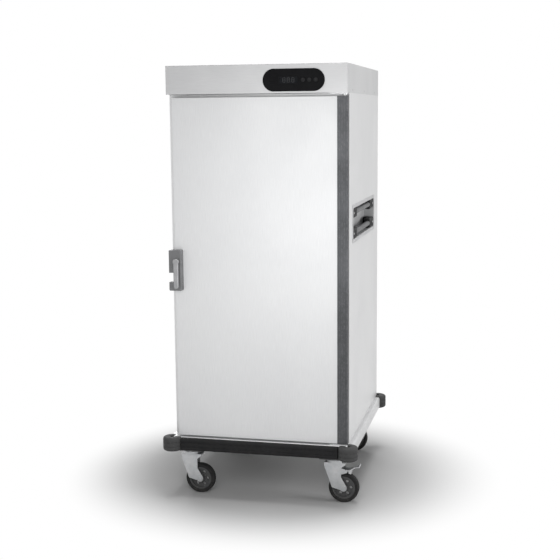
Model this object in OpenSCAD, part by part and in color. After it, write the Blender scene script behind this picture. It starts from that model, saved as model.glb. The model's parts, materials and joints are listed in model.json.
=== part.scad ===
// Enclosed heated meal tray cart: insulated cabinet, one overlay door,
// angle runners for catering trays, machine cap and four swivel casters.
// Millimetres. Front is -Y, up is +Z, origin on the floor under the middle.

/* [Overall] */
// Width across the outer wrap
cabinet_width = 730; // [650:5:850]
// Depth from the cap fascia to the back panel
cabinet_depth = 840; // [780:5:1000]
// Height from the floor to the lid
overall_height = 1765; // [1450:5:2000]

/* [Walls] */
// Thickness of the insulated walls
wall_thickness = 55; // [48:1:75]
// Thickness of the folded sheets
sheet = 1.2; // [0.8:0.1:2]
// Thickness of the insulated floor
floor_thickness = 40; // [35:1:70]
// Thickness of the insulated roof
roof_thickness = 40; // [30:1:70]
// Height of the chassis channel
chassis_height = 40; // [35:1:60]

/* [Door] */
// Thickness of the door
door_thickness = 32; // [26:1:45]
// Gap between door and seal frame, filled by the gasket
seal_gap = 6; // [5:0.5:10]
// Distance the cap stands in front of the door
cap_overhang = 8; // [2:1:20]
// Width of the seal frame left bare on the latch side
jamb_reveal = 20; // [18:1:40]
// Width of the dark profile on the hinge edge
edge_profile_width = 42; // [30:1:60]
// Gap between the cap and the top of the door
door_top_gap = 12; // [8:1:20]
// Radius of the hinge pins
hinge_pin_r = 5; // [4:0.5:7]
// Height of the latch housing
latch_height = 165; // [140:1:200]
// Height of the middle of the latch above the floor
latch_mid = 952.5; // [860:0.5:1060]

/* [Racks] */
// Number of tray levels
tray_levels = 11; // [6:1:14]
// Depth of the rack posts beside the trays, 543 mm apart for 530 mm trays
rack_depth = 38.5; // [25:0.5:50]
// Width of a runner's ledge
runner_ledge = 26; // [18:1:34]
// Height of the lowest ledge above the cabinet floor
first_level = 90; // [60:5:160]
// Free height over the highest ledge
top_level_space = 103; // [80:1:200]

/* [Handles] */
// Height of the middle of the side handles
handle_z = 1136; // [900:1:1250]
// Distance of the handle recess from the front and from the back
handle_inset = 130; // [110:5:200]
// Height of the handle recess
handle_height = 128; // [110:1:160]
// Radius of a grip bar
grip_r = 11; // [9:0.5:14]

/* [Bumper] */
// Height of the bumper rail
bumper_height = 50; // [40:1:70]
// Distance the rails stand out
bumper_depth = 20; // [14:1:30]
// Radius of the corner bumpers
corner_r = 40; // [32:1:50]

/* [Casters] */
// Wheel diameter
wheel_diameter = 125; // [100:5:140]
// Tyre width
tyre_width = 32; // [26:1:40]
// Distance between swivel axis and axle
caster_trail = 35; // [28:1:40]
// Height of the mounting plate over the top of the wheel
caster_headroom = 70; // [60:1:90]
// Distance of the swivel axis in from the side
caster_inset_x = 60; // [55:1:100]
// Distance of the swivel axis in from the front and the back
caster_inset_y = 70; // [60:1:120]

/* [Controls] */
// Width of the control panel
panel_width = 245; // [200:1:300]
// Height of the control panel
panel_height = 87; // [70:1:90]
// Distance of the control panel from the right side
panel_inset = 88.5; // [60:0.5:200]
// Height of the fascia left under the control panel
panel_margin_below = 6.5; // [5:0.5:20]
// Height of the fascia left over the control panel
panel_margin_above = 18.5; // [16:0.5:40]

/* [Hidden] */
$fn = 48;
half_w = cabinet_width / 2;
back_y = cabinet_depth / 2;
cap_y = -cabinet_depth / 2;
door_front_y = cap_y + cap_overhang;
door_back_y = door_front_y + door_thickness;
jamb_y = door_back_y + seal_gap;
wall_front_y = jamb_y + 14;

caster_height = wheel_diameter + caster_headroom;
pad_thickness = 5;
channel_z = caster_height + pad_thickness;
body_z = channel_z + chassis_height;
rail_z0 = channel_z + 3;
rail_mid = rail_z0 + bumper_height / 2;
cap_height = panel_margin_below + panel_height + panel_margin_above;
cap_z = overall_height - cap_height;
sill_top = rail_z0 + bumper_height + 2;
hem = 22;
door_z0 = sill_top + 6;
door_z1 = cap_z - door_top_gap;

liner_x = half_w - wall_thickness;
liner_back = back_y - wall_thickness;
liner_z0 = body_z + floor_thickness;
liner_z1 = cap_z - roof_thickness;
opening_z0 = door_z0 + 24;
opening_z1 = liner_z1 - 12;

door_x0 = -half_w + jamb_reveal;
door_x1 = half_w;
profile_wrap = 3;
shell_x1 = door_x1 - profile_wrap;
bush_r = hinge_pin_r + 4;
hinge_x = half_w - bush_r - 5;
hinge_y = door_front_y + bush_r + 3;
running = 0.05;
seat = 0.3;
butt = 0.1;
gasket_foot = 18;
gasket_left = door_x0 + 16;
gasket_right = hinge_x - 20;

latch_z0 = latch_mid - latch_height / 2;
latch_z1 = latch_mid + latch_height / 2;
spindle_x = door_x0 + 19;
spindle_z = latch_z1 - 45;
housing_y = door_front_y - 28;
housing_x0 = -half_w + 4;
keeper_arm_x = door_x0 - 8;

post_x0 = liner_x - rack_depth;
post_x1 = liner_x - seat;
level_pitch = (liner_z1 - top_level_space - liner_z0 - first_level) / (tray_levels - 1);
duct_y = liner_back - 73;
duct_x = liner_x - 70;
fan_r = 69;
fan_z = (liner_z0 + liner_z1) / 2;
heater_r = fan_r + 23;
tube_r = 4.2;
pan_depth = wall_thickness - 9;
pan_corner = 13;
handle_length = cabinet_depth - 2 * handle_inset;
socket_length = 110;
socket_height = 2 * grip_r + 20;
grip_spacing = handle_height - 2 * sheet - socket_height - 2 * seat;
socket_y1 = handle_length / 2 - sheet - 0.4;
socket_y0 = socket_y1 - socket_length;
grip_x = half_w - grip_r;
inlet_x = -half_w + 85;
inlet_z = body_z + 100;

caster_x = half_w - caster_inset_x;
caster_y = back_y - caster_inset_y;
wheel_r = wheel_diameter / 2;
axle_r = 6;
hub_r = axle_r + 11;
rim_r = wheel_r - 23;
race_top = caster_height - 4;
race_z = race_top - 10;
race_r = 33;
cup_z = race_z - 12.5;
crown_z = cup_z - 4;
crown_x = 44;
pedal_x = caster_trail + 10;
pedal_z = wheel_diameter + 8.5;
leg_gap = tyre_width / 2 + 3;

panel_x = half_w - panel_inset - panel_width / 2;
panel_z = cap_z + panel_margin_below + panel_height / 2;
panel_face_y = cap_y - 4;
panel_back_y = cap_y + 16;
rocker_x = panel_x - panel_width / 2 + 36.5;
rocker_y = cap_y + 4;
button_pitch = 25;
button_x = panel_x + panel_width / 2 - 34.5 - 2 * button_pitch;
button_r = 7.6;
display_x0 = rocker_x + 30;
display_x1 = button_x - 22;
display_z = 13;

steel = [0.80, 0.81, 0.82];
bright = [0.70, 0.71, 0.72];
dark = [0.16, 0.16, 0.17];
grey = [0.45, 0.46, 0.47];
foam = [0.86, 0.83, 0.70];

// Helpers

module block(low, high) {
    translate(low) cube(high - low);
}

module rounded(w, h, r) {
    square([w - 2 * r, h], center = true);
    square([w, h - 2 * r], center = true);
    for (x = [-1, 1], y = [-1, 1])
        translate([x * (w / 2 - r), y * (h / 2 - r)]) circle(r);
}

module stadium(w, h) {
    square([w - h, h], center = true);
    for (x = [-1, 1]) translate([x * (w - h) / 2, 0]) circle(h / 2);
}

// Drawing in X and Z, thickness from y0 back to y1
module facing_front(y0, y1) {
    translate([0, y1, 0]) rotate([90, 0, 0]) linear_extrude(y1 - y0) children();
}

// Drawing in Y and Z, thickness from x0 to x1
module facing_side(x0, x1) {
    translate([x0, 0, 0]) rotate([90, 0, 90]) linear_extrude(x1 - x0) children();
}

module rod(from, length, r, turn) {
    translate(from) rotate(turn) cylinder(h = length, r = r);
}

module both_sides() {
    children();
    mirror([1, 0, 0]) children();
}

module at_casters() {
    for (x = [-1, 1], y = [-1, 1])
        translate([x * caster_x, y * caster_y, 0]) children();
}

function level_z(i) = liner_z0 + first_level + i * level_pitch;

// Chassis and outer skin

module frame_ring(outer_x, outer_y, rail, z0, z1) {
    difference() {
        block([-outer_x, -outer_y, z0], [outer_x, outer_y, z1]);
        block([-outer_x + rail, -outer_y + rail, z0 - 1], [outer_x - rail, outer_y - rail, z1 + 1]);
    }
}

module caster_bolt_spots() {
    for (x = [-1, 1], y = [-1, 1]) translate([x * 40, y * 30, 0]) children();
}

module base_frame() color(dark) {
    outer_x = half_w;
    outer_y = back_y;
    rail = max(caster_inset_x + 55, caster_inset_y + 45);
    wall = 3;
    difference() {
        union() {
            difference() {
                frame_ring(outer_x, outer_y, rail, channel_z, body_z);
                difference() {
                    frame_ring(outer_x - wall, outer_y - wall, rail - 2 * wall, channel_z - 1, body_z - wall);
                    for (x = [-1, 1])
                        block([x * 120 - 1.5, -outer_y, channel_z - 1], [x * 120 + 1.5, outer_y, body_z]);
                }
            }
            // Pads over the casters
            difference() {
                frame_ring(outer_x, outer_y, rail, caster_height, channel_z);
                block([-outer_x + rail, -back_y - 1, 0], [outer_x - rail, back_y + 1, body_z]);
                block([-half_w - 1, -outer_y + rail, 0], [half_w + 1, outer_y - rail, body_z]);
            }
            // Cross channel under the middle of the floor
            difference() {
                block([-outer_x + rail, -30, channel_z], [outer_x - rail, 30, body_z]);
                block([-outer_x, -27, channel_z - 1], [outer_x, 27, body_z - wall]);
            }
        }
        at_casters() {
            translate([0, 0, caster_height - 1]) cylinder(h = pad_thickness + 2, r = 13);
            caster_bolt_spots()
                translate([0, 0, caster_height - 1]) cylinder(h = pad_thickness + 2, r = 4.25);
        }
    }
}

module front_sill() color(steel) difference() {
    block([-half_w, cap_y, body_z], [half_w, jamb_y, sill_top]);
    block([-half_w + 1.5, cap_y + 1.5, body_z - 1], [half_w - 1.5, jamb_y - 1.5, sill_top - 1.5]);
}

module handle_window(w, h) {
    translate([0, handle_z]) rounded(w, h, pan_corner);
}

module outer_wrap() color(steel) difference() {
    block([-half_w, wall_front_y, body_z], [half_w, back_y - sheet, cap_z]);
    block(
        [-half_w + sheet, wall_front_y - 1, body_z + sheet],
        [half_w - sheet, back_y - 2 * sheet, cap_z + 1]
    );
    block(
        [-half_w + hem, 0, body_z + hem],
        [half_w - hem, back_y + 1, cap_z + 1]
    );
    both_sides() facing_side(half_w - sheet - 1, half_w + 1)
        handle_window(handle_length + 0.6, handle_height + 0.6);
}

module vent_slots(rows, columns, pitch_x, pitch_z, slot) {
    for (i = [0 : columns - 1], k = [0 : rows - 1])
        translate([(i - (columns - 1) / 2) * pitch_x, (k - (rows - 1) / 2) * pitch_z])
            stadium(slot, 5);
}

module back_panel() color(steel) difference() {
    block([-half_w, back_y - sheet, body_z], [half_w, back_y, overall_height - 1.5]);
    facing_front(back_y - sheet - 1, back_y + 1) {
        translate([0, cap_z + cap_height / 2])
            vent_slots(6, floor((cabinet_width - 280) / 90), 90, 13, 70);
        translate([inlet_x, inlet_z]) rounded(50 + 2 * seat, 44 + 2 * seat, 4);
    }
}

// Insulation and lining

module side_insulation() color(foam) both_sides() difference() {
    block(
        [liner_x + sheet, wall_front_y, body_z + sheet],
        [half_w - sheet, back_y - 2 * sheet, cap_z]
    );
    facing_side(half_w - pan_depth - seat, half_w + 1)
        handle_window(handle_length + 1, handle_height + 1);
}

module back_insulation() color(foam) difference() {
    block(
        [-liner_x - sheet, liner_back + sheet, body_z + sheet],
        [liner_x + sheet, back_y - sheet, cap_z]
    );
    // Clearance for the hem of the wrap and the inlet
    block([-half_w, back_y - 2 * sheet, 0], [half_w, back_y + 1, body_z + hem]);
    facing_front(back_y - 42, back_y + 1)
        translate([inlet_x, inlet_z]) rounded(51, 45, 4);
}

module floor_roof_insulation() color(foam) {
    block(
        [-liner_x - sheet, wall_front_y, body_z + sheet],
        [liner_x + sheet, liner_back + sheet, liner_z0 - sheet]
    );
    block(
        [-liner_x - sheet, wall_front_y, liner_z1 + sheet],
        [liner_x + sheet, liner_back + sheet, cap_z]
    );
}

module inner_liner() color(bright) difference() {
    block(
        [-liner_x - sheet, wall_front_y, liner_z0 - sheet],
        [liner_x + sheet, liner_back + sheet, liner_z1 + sheet]
    );
    block(
        [-liner_x, wall_front_y + sheet, liner_z0],
        [liner_x, liner_back, liner_z1]
    );
    block([-liner_x, wall_front_y - 1, opening_z0], [liner_x, 0, opening_z1]);
}

// Two uprights with two rails butted between them
module seal_frame() color(steel) difference() {
    union() {
        block([-half_w, jamb_y, body_z], [half_w, wall_front_y, cap_z]);
        // Return that laps inside the liner
        block([-liner_x, jamb_y, opening_z0], [liner_x, wall_front_y + 10, opening_z1]);
    }
    block(
        [-liner_x + sheet, jamb_y - 1, opening_z0 + sheet],
        [liner_x - sheet, wall_front_y + 11, opening_z1 - sheet]
    );
    // Folded back of the ring
    difference() {
        block(
            [-half_w + sheet, jamb_y + sheet, body_z + sheet],
            [half_w - sheet, wall_front_y + 1, cap_z - sheet]
        );
        block([-liner_x, jamb_y, opening_z0], [liner_x, wall_front_y + 2, opening_z1]);
    }
    // Butt joints
    both_sides() block(
        [liner_x - sheet - butt, jamb_y - 1, 0],
        [liner_x - sheet, wall_front_y + 11, overall_height]
    );
}

// Machine cap

module cap_fascia() color(steel) difference() {
    block([-half_w, cap_y, cap_z], [half_w, back_y - sheet, overall_height - 1.5]);
    block(
        [-half_w + 1.5, cap_y + 1.5, cap_z - 1],
        [half_w - 1.5, back_y, overall_height]
    );
    facing_front(cap_y - 1, cap_y + 3)
        translate([panel_x, panel_z]) stadium(panel_width - 19.4, panel_height - 19.4);
}

module cap_lid() color(steel) {
    block([-half_w, cap_y, overall_height - 1.5], [half_w, back_y, overall_height]);
    difference() {
        block(
            [-half_w + 2, cap_y + 2, overall_height - 14],
            [half_w - 2, back_y - sheet - seat, overall_height - 1.5]
        );
        block(
            [-half_w + 3.2, cap_y + 3.2, overall_height - 15],
            [half_w - 3.2, back_y - sheet - seat - 1.2, overall_height - 1.5]
        );
        // Notch over the control panel
        block(
            [panel_x - panel_width / 2 - 7.5, cap_y, overall_height - 15],
            [panel_x + panel_width / 2 + 7.5, cap_y + 5, overall_height - 1.5]
        );
    }
}

module cap_deck() color(steel) difference() {
    block([-half_w + 1.5, cap_y + 1.5, cap_z], [half_w - 1.5, back_y - sheet, cap_z + 1.5]);
    for (x = [-1, 0, 1])
        translate([x * (half_w - 165), back_y - 220, cap_z - 1]) cylinder(h = 4, r = 11);
}

module control_panel() color(dark) difference() {
    union() {
        facing_front(panel_face_y, cap_y)
            translate([panel_x, panel_z]) stadium(panel_width, panel_height);
        facing_front(cap_y, panel_back_y)
            translate([panel_x, panel_z]) stadium(panel_width - 20, panel_height - 20);
    }
    facing_front(panel_face_y - 1, panel_face_y + 1)
        translate([panel_x, panel_z]) stadium(panel_width - 10, panel_height - 10);
    // Pocket of the display
    block(
        [display_x0 - 0.2, panel_face_y - 1, panel_z - display_z - 0.2],
        [display_x1 + 0.2, panel_face_y + 3, panel_z + display_z + 0.2]
    );
    for (i = [0 : 2]) translate([button_x + i * button_pitch, 0, panel_z]) {
        rod([0, panel_back_y + 1, 0], 22, button_r + 0.4, [90, 0, 0]);
        rod([0, panel_back_y + 1, 0], 13, 11.5, [90, 0, 0]);
    }
    block(
        [rocker_x - 10, panel_face_y - 1, panel_z - 14],
        [rocker_x + 10, panel_back_y + 1, panel_z + 14]
    );
    rod([rocker_x - 13, rocker_y, panel_z], 26, 2 + running, [0, 90, 0]);
}

module display_window() color([0.05, 0.05, 0.06]) block(
    [display_x0, panel_face_y + 0.7, panel_z - display_z],
    [display_x1, panel_face_y + 3, panel_z + display_z]
);

module button(i) color([0.22, 0.22, 0.23]) translate([button_x + i * button_pitch, 0, panel_z]) {
    difference() {
        rod([0, panel_face_y + 10, 0], 12, button_r, [90, 0, 0]);
        // Dished front
        translate([0, panel_face_y - 22, 0]) sphere(r = 21, $fn = 64);
    }
    rod([0, panel_back_y - 6, 0], 4, 10.5, [90, 0, 0]);
}

module button_set() button(0);
module button_up() button(1);
module button_down() button(2);

module power_rocker() color([0.10, 0.10, 0.11]) translate([rocker_x, rocker_y, panel_z]) {
    rotate([-8, 0, 0]) rotate([90, 0, 90]) translate([0, 0, -9.6]) linear_extrude(19.2)
        polygon([[-7.5, -10.8], [-6, 0], [-7.5, 10.8], [0, 13.2], [6, 8], [6, -8], [0, -13.2]]);
    rod([-12, 0, 0], 24, 2, [0, 90, 0]);
}

module controller_box() color(grey) {
    half = panel_width / 2 - 17.5;
    foot = half + 7;
    y0 = panel_back_y + 4;
    y1 = y0 + 80;
    block([panel_x - half, y0, cap_z + 1.5], [panel_x + half, y1, overall_height - 26]);
    block([panel_x - foot, y0, cap_z + 1.5], [panel_x + foot, y1, cap_z + 3.5]);
    // Cable gland on the end
    rod([panel_x - half, (y0 + y1) / 2, cap_z + 40], 12, 9, [0, -90, 0]);
    // Plug of the display board
    block(
        [display_x0 - 4, panel_back_y + seat, panel_z - 25],
        [display_x1 + 4, y0, panel_z + 25]
    );
}

// Inside of the cabinet

module rack_posts() color(bright) both_sides()
    for (y = [wall_front_y + 50, duct_y - 42]) difference() {
        translate([0, y, liner_z0]) linear_extrude(liner_z1 - 40 - liner_z0) difference() {
            translate([post_x0, 0]) square([post_x1 - post_x0, 25]);
            translate([post_x0 + 1.5, 1.5]) square([post_x1 - post_x0, 22]);
        }
        // Slots between the runners
        facing_side(post_x0 - 1, post_x0 + 2.5) for (i = [0 : tray_levels - 2])
            translate([y + 12.5, level_z(i) + level_pitch * 0.4]) rotate(90) stadium(30, 8);
    }

module tray_runners() color(bright) both_sides() for (i = [0 : tray_levels - 1]) difference() {
    block(
        [post_x0 - runner_ledge, wall_front_y + 16, level_z(i) - 24],
        [post_x0, duct_y - 8, level_z(i)]
    );
    block(
        [post_x0 - runner_ledge - 1, wall_front_y, level_z(i) - 25],
        [post_x0 - 1.5, duct_y, level_z(i) - 1.5]
    );
}

module air_duct() color(bright) {
    z0 = liner_z0 + 34;
    z1 = liner_z1 - 26;
    facing_front(duct_y, duct_y + sheet) {
        difference() {
            translate([-duct_x, z0]) square([2 * duct_x, z1 - z0]);
            translate([0, fan_z]) circle(fan_r + 3, $fn = 64);
            for (x = [-1, 1], i = [0 : tray_levels - 1])
                translate([x * (duct_x - 50), level_z(i) + 40]) stadium(62, 9);
        }
        // Ring guard in front of the fan
        for (r = [fan_r - 45, fan_r - 25, fan_r - 5]) translate([0, fan_z]) difference() {
            circle(r + 1.6, $fn = 64);
            circle(r - 1.6, $fn = 64);
        }
        for (a = [0, 60, 120]) translate([0, fan_z]) rotate(a)
            square([2 * fan_r + 8, 3.2], center = true);
    }
    for (x = [-duct_x, duct_x - sheet])
        block([x, duct_y, z0], [x + sheet, liner_back, z1]);
    for (z = [z0, z1 - sheet])
        block([-duct_x, duct_y, z], [duct_x, liner_back, z + sheet]);
}

module fan_motor() color(grey) translate([0, 0, fan_z]) {
    rod([0, liner_back, 0], 31, 38, [90, 0, 0]);
    rod([0, liner_back, 0], 4, 50, [90, 0, 0]);
    rod([0, liner_back - 31, 0], 4, 16, [90, 0, 0]);
    rod([0, liner_back - 31, 0], 31, 4, [90, 0, 0]);
}

module fan_impeller() color(bright) {
    front_y = liner_back - 66;
    facing_front(front_y, front_y + 24) translate([0, fan_z]) {
        difference() {
            circle(11);
            circle(4 + running);
        }
        for (a = [0 : 15 : 345]) rotate(a) translate([fan_r - 19, -0.6]) square([18, 1.2]);
    }
    facing_front(front_y + 22.5, front_y + 24) translate([0, fan_z]) difference() {
        circle(fan_r, $fn = 64);
        circle(4 + running);
    }
    facing_front(front_y, front_y + 1.5) translate([0, fan_z]) difference() {
        circle(fan_r, $fn = 64);
        circle(fan_r - 17, $fn = 64);
    }
}

module heater_element() color([0.30, 0.27, 0.25]) translate([0, 0, fan_z]) {
    for (y = [liner_back - 56, liner_back - 38]) {
        translate([0, y, 0]) rotate([90, 0, 0]) rotate_extrude($fn = 64)
            translate([heater_r, 0]) circle(tube_r, $fn = 24);
        for (x = [-14, 14]) translate([x, y, 1 - heater_r]) rotate([-90, 0, 0])
            cylinder(h = liner_back - y, r = tube_r, $fn = 24);
    }
    block([-24, liner_back - 5, -heater_r - 11], [24, liner_back, -heater_r + 13]);
}

module water_pan() color(bright) translate([0, wall_front_y + 190, liner_z0]) difference() {
    w = 2 * post_x0 - 123;
    d = 260;
    union() {
        linear_extrude(36) rounded(w, d, 20);
        translate([0, 0, 36 - sheet]) linear_extrude(sheet) rounded(w + 16, d + 16, 26);
    }
    translate([0, 0, sheet]) linear_extrude(40) rounded(w - 2 * sheet, d - 2 * sheet, 18.8);
}

// Hinge hardware

module hinge_brackets() color(bright) {
    difference() {
        block([hinge_x - 60, hinge_y - 10, cap_z - 4], [half_w - 2, jamb_y, cap_z]);
        for (x = [-48, -22]) rod([hinge_x + x, jamb_y - 12, cap_z - 5], 6, 2.6, [0, 0, 0]);
    }
    rod([hinge_x, hinge_y, cap_z - door_top_gap - 24], 24 + door_top_gap - 4, hinge_pin_r, [0, 0, 0]);
    rod([hinge_x, hinge_y, cap_z - door_top_gap + 2], door_top_gap - 6, bush_r, [0, 0, 0]);
    difference() {
        block([hinge_x - 60, hinge_y - 10, sill_top], [half_w - 2, jamb_y, sill_top + 3]);
        for (x = [-48, -22]) rod([hinge_x + x, jamb_y - 12, sill_top - 1], 6, 2.6, [0, 0, 0]);
    }
    rod([hinge_x, hinge_y, sill_top + 3], 27, hinge_pin_r, [0, 0, 0]);
    rod([hinge_x, hinge_y, sill_top + 3], 2.7, bush_r, [0, 0, 0]);
}

module latch_keeper() color(bright) {
    arm = keeper_arm_x;
    difference() {
        block([-half_w + 2, jamb_y - 3, spindle_z - 43], [door_x0 - 2, jamb_y, spindle_z + 41]);
        for (z = [-34, 33]) rod([arm - 5, jamb_y + 1, spindle_z + z], 6, 1.7, [90, 0, 0]);
    }
    difference() {
        block([arm, housing_y + 6, spindle_z - 30], [arm + 4, jamb_y - 1, spindle_z + 30]);
        // Slot for the tongue, open at the top
        block([arm - 1, housing_y + 10, spindle_z - 7], [arm + 5, housing_y + 22, spindle_z + 35]);
    }
}

// Bumper and push handles

module rail_section() {
    h = bumper_height;
    d = bumper_depth;
    translate([0, -h / 2]) square([d - 8, h]);
    translate([0, -h / 2 + 8]) square([d, h - 16]);
    for (s = [-1, 1]) translate([d - 8, s * (h / 2 - 8)]) circle(8);
}

module bumper_rails() color(dark) for (s = [0, 180]) rotate(s)
    translate([-half_w + 37, -back_y, rail_mid]) rotate([90, 0, 90])
        linear_extrude(cabinet_width - 74) mirror([1, 0]) difference() {
            rail_section();
            // Grooves along the face
            for (z = [-9, 9]) translate([bumper_depth, z]) circle(1.6, $fn = 16);
        }

module side_rails() color(bright) both_sides()
    translate([half_w, back_y - 38, rail_mid]) rotate([90, 0, 0]) linear_extrude(cabinet_depth - 76)
        difference() {
            rail_section();
            translate([1.5, -bumper_height / 2 + 8]) square([bumper_depth - 3, bumper_height - 16]);
        }

module corner_bumpers() color(dark) {
    h = bumper_height + 8;
    for (x = [-1, 1], y = [-1, 1]) difference() {
        translate([x * (half_w + 3), y * (back_y + 2), rail_mid]) rotate_extrude($fn = 64) {
            translate([0, -h / 2]) square([corner_r - 10, h]);
            translate([0, -h / 2 + 10]) square([corner_r, h - 20]);
            for (s = [-1, 1]) translate([corner_r - 10, s * (h / 2 - 10)]) circle(10);
        }
        block([-half_w, -back_y, 0], [half_w, back_y, overall_height]);
    }
}

module handle_pans() color(bright) both_sides() difference() {
    union() {
        facing_side(half_w - pan_depth, half_w) handle_window(handle_length, handle_height);
        facing_side(half_w, half_w + 1.5) handle_window(handle_length + 28, handle_height + 28);
    }
    facing_side(half_w - pan_depth + sheet, half_w + 2)
        translate([0, handle_z])
            rounded(handle_length - 2 * sheet, handle_height - 2 * sheet, pan_corner - sheet);
}

module at_grips() {
    for (z = [-1, 1]) translate([0, 0, handle_z + z * grip_spacing / 2]) children();
}

module grip_bars() color(bright) both_sides() at_grips()
    translate([grip_x, 0, 0]) rotate([90, 0, 0]) difference() {
        cylinder(h = 2 * socket_y0 + 60, r = grip_r, center = true);
        cylinder(h = 2 * socket_y0 + 62, r = grip_r - 1.5, center = true);
    }

module grip_sockets() color(dark) both_sides() at_grips() for (s = [-1, 1]) difference() {
    translate([half_w - pan_depth + sheet, 0, 0]) facing_side(0, pan_depth - sheet)
        translate([s * (socket_y0 + socket_y1) / 2, 0]) rounded(socket_length, socket_height, 12);
    translate([grip_x, s * (socket_y0 + 30 + seat), 0]) rotate([s * 90, 0, 0])
        cylinder(h = 60, r = grip_r + running);
}

module power_inlet() color(dark) translate([inlet_x, 0, inlet_z]) {
    difference() {
        union() {
            facing_front(back_y, back_y + 3) rounded(66, 60, 6);
            facing_front(back_y - 40, back_y) rounded(50, 44, 4);
        }
        facing_front(back_y - 28, back_y + 4) rounded(40, 30, 6);
        for (x = [-28.5, 28.5]) rod([x, back_y + 4, 0], 5, 1.7, [90, 0, 0]);
    }
    // Contact blades
    for (x = [-9, 0, 9]) block([x - 1, back_y - 29, -3], [x + 1, back_y - 12, 3]);
}

module dome_screw(r) {
    difference() {
        rotate_extrude() {
            square([r, 0.8]);
            intersection() {
                translate([0, -r * 1.6]) circle(r * 1.9);
                square([r, r * 0.5]);
            }
        }
        translate([0, 0, r * 0.6]) cube([r * 1.3, 0.8, 1.4], center = true);
    }
}

module cabinet_screws() color(bright) {
    // Flanges of the handle pans
    for (s = [0, 180]) rotate(s) for (y = [-1, 1], z = [-1, 1])
        translate([half_w + 1.5, y * (handle_length / 2 - 30), handle_z + z * (handle_height / 2 + 7)])
            rotate([0, 90, 0]) dome_screw(3.2);
    // Sides of the cap
    both_sides() for (y = [-1, 0, 1])
        translate([half_w, y * (back_y - 120), cap_z + 12]) rotate([0, 90, 0]) dome_screw(3.5);
    // Back panel
    low = sill_top + 55;
    for (x = [-1, 1], i = [0 : 4])
        translate([x * (half_w - 12), back_y, low + i * (overall_height - 17 - low) / 4])
            rotate([-90, 0, 0]) dome_screw(3.5);
    // Caster bolts
    at_casters() caster_bolt_spots() {
        translate([0, 0, race_top - 5]) cylinder(h = 5, r = 6.5, $fn = 6);
        translate([0, 0, race_top - 1]) cylinder(h = 14, r = 4);
        translate([0, 0, channel_z]) cylinder(h = 6, r = 6.5, $fn = 6);
    }
}

// Door

module bush_holes(r) {
    for (z = [door_z0 - 1, door_z1 - 31]) translate([hinge_x, hinge_y, z]) cylinder(h = 32, r = r);
}

module door_shell() color(steel) difference() {
    block([door_x0, door_front_y, door_z0], [shell_x1, door_back_y - sheet, door_z1]);
    block(
        [door_x0 + sheet, door_front_y + sheet, door_z0 + sheet],
        [shell_x1 - sheet, door_back_y, door_z1 - sheet]
    );
    bush_holes(bush_r);
    // Holes of the latch housing
    for (z = [latch_z0 + 17, latch_z1 - 14])
        rod([spindle_x, door_front_y + 5, z], 8, 2.2, [90, 0, 0]);
}

module door_profile() color([0.30, 0.31, 0.32]) translate([0, 0, door_z0]) linear_extrude(door_z1 - door_z0) {
    translate([door_x1 - edge_profile_width, door_front_y - 2]) square([edge_profile_width, 2]);
    translate([shell_x1, door_front_y - 2]) square([profile_wrap, door_thickness + 2 - sheet]);
    // Ribs along the face
    for (i = [0 : 3])
        translate([door_x1 - edge_profile_width + 6 + i * 10, door_front_y - 2.6]) square([4, 0.8]);
}

module door_inner() color(bright) {
    block([door_x0, door_back_y - sheet, door_z0], [door_x1, door_back_y, door_z1]);
    // Strips that hold the foot of the gasket
    gasket_ring(22, 0.8, door_back_y);
}

module door_insulation() color(foam) difference() {
    block(
        [door_x0 + sheet + 0.1, door_front_y + sheet + 0.1, door_z0 + sheet + 0.1],
        [shell_x1 - sheet - 0.1, door_back_y - sheet, door_z1 - sheet - 0.1]
    );
    bush_holes(bush_r + seat);
    for (z = [latch_z0 + 17, latch_z1 - 14])
        rod([spindle_x, door_front_y + 12, z], 14, 3, [90, 0, 0]);
}

// Band around the doorway, its middle on the line where the gasket seals
module gasket_ring(band, thick, y) {
    width = gasket_right - gasket_left;
    height = opening_z1 - opening_z0 + 25;
    facing_front(y, y + thick)
        translate([(gasket_left + gasket_right) / 2, (opening_z0 + opening_z1) / 2]) difference() {
            square([width + band, height + band], center = true);
            square([width - band, height - band], center = true);
        }
}

// Four strips, the short ones butted between the long ones
module door_gasket() color([0.12, 0.12, 0.12]) difference() {
    union() {
        gasket_ring(gasket_foot, 2.6, door_back_y + 0.8);
        gasket_ring(12, seal_gap - 0.8, door_back_y + 0.8);
    }
    for (x = [gasket_left + gasket_foot / 2, gasket_right - gasket_foot / 2 - butt])
        block([x, door_back_y, 0], [x + butt, jamb_y + 1, overall_height]);
}

module hinge_bushes() color(bright) for (z = [door_z0, door_z1 - 30])
    translate([hinge_x, hinge_y, z]) difference() {
        cylinder(h = 30, r = bush_r);
        translate([0, 0, -1]) cylinder(h = 32, r = hinge_pin_r + running);
    }

// Latch

module latch_housing() color(grey) {
    left = housing_x0;
    right = door_x0 + 36;
    difference() {
        union() {
            block([door_x0 + 2, housing_y, latch_z0], [right, door_front_y, latch_z1]);
            block([left, housing_y, latch_z1 - 92], [door_x0 + 2, door_front_y, latch_z1]);
            block([left, housing_y, latch_z0], [door_x0 + 2, door_front_y - 4, latch_z0 + 35]);
        }
        // Room for the keeper and for the turning tongue
        block([left + 3, housing_y + 3, latch_z1 - 89], [door_x0 + 3, door_front_y + 1, latch_z1 - 3]);
        block([door_x0 + 2, housing_y + 3, spindle_z - 9], [right - 5, door_front_y + 1, latch_z1 - 3]);
        rod([spindle_x, housing_y + 5, spindle_z], 8, 7 + running, [90, 0, 0]);
        // Chamfer down the outer edge
        translate([right, housing_y, latch_mid]) rotate([0, 0, 45])
            cube([6, 6, latch_height + 20], center = true);
    }
    // Screws of the housing
    translate([spindle_x, housing_y, latch_z0 + 17]) rotate([90, 0, 0]) dome_screw(3.5);
}

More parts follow.
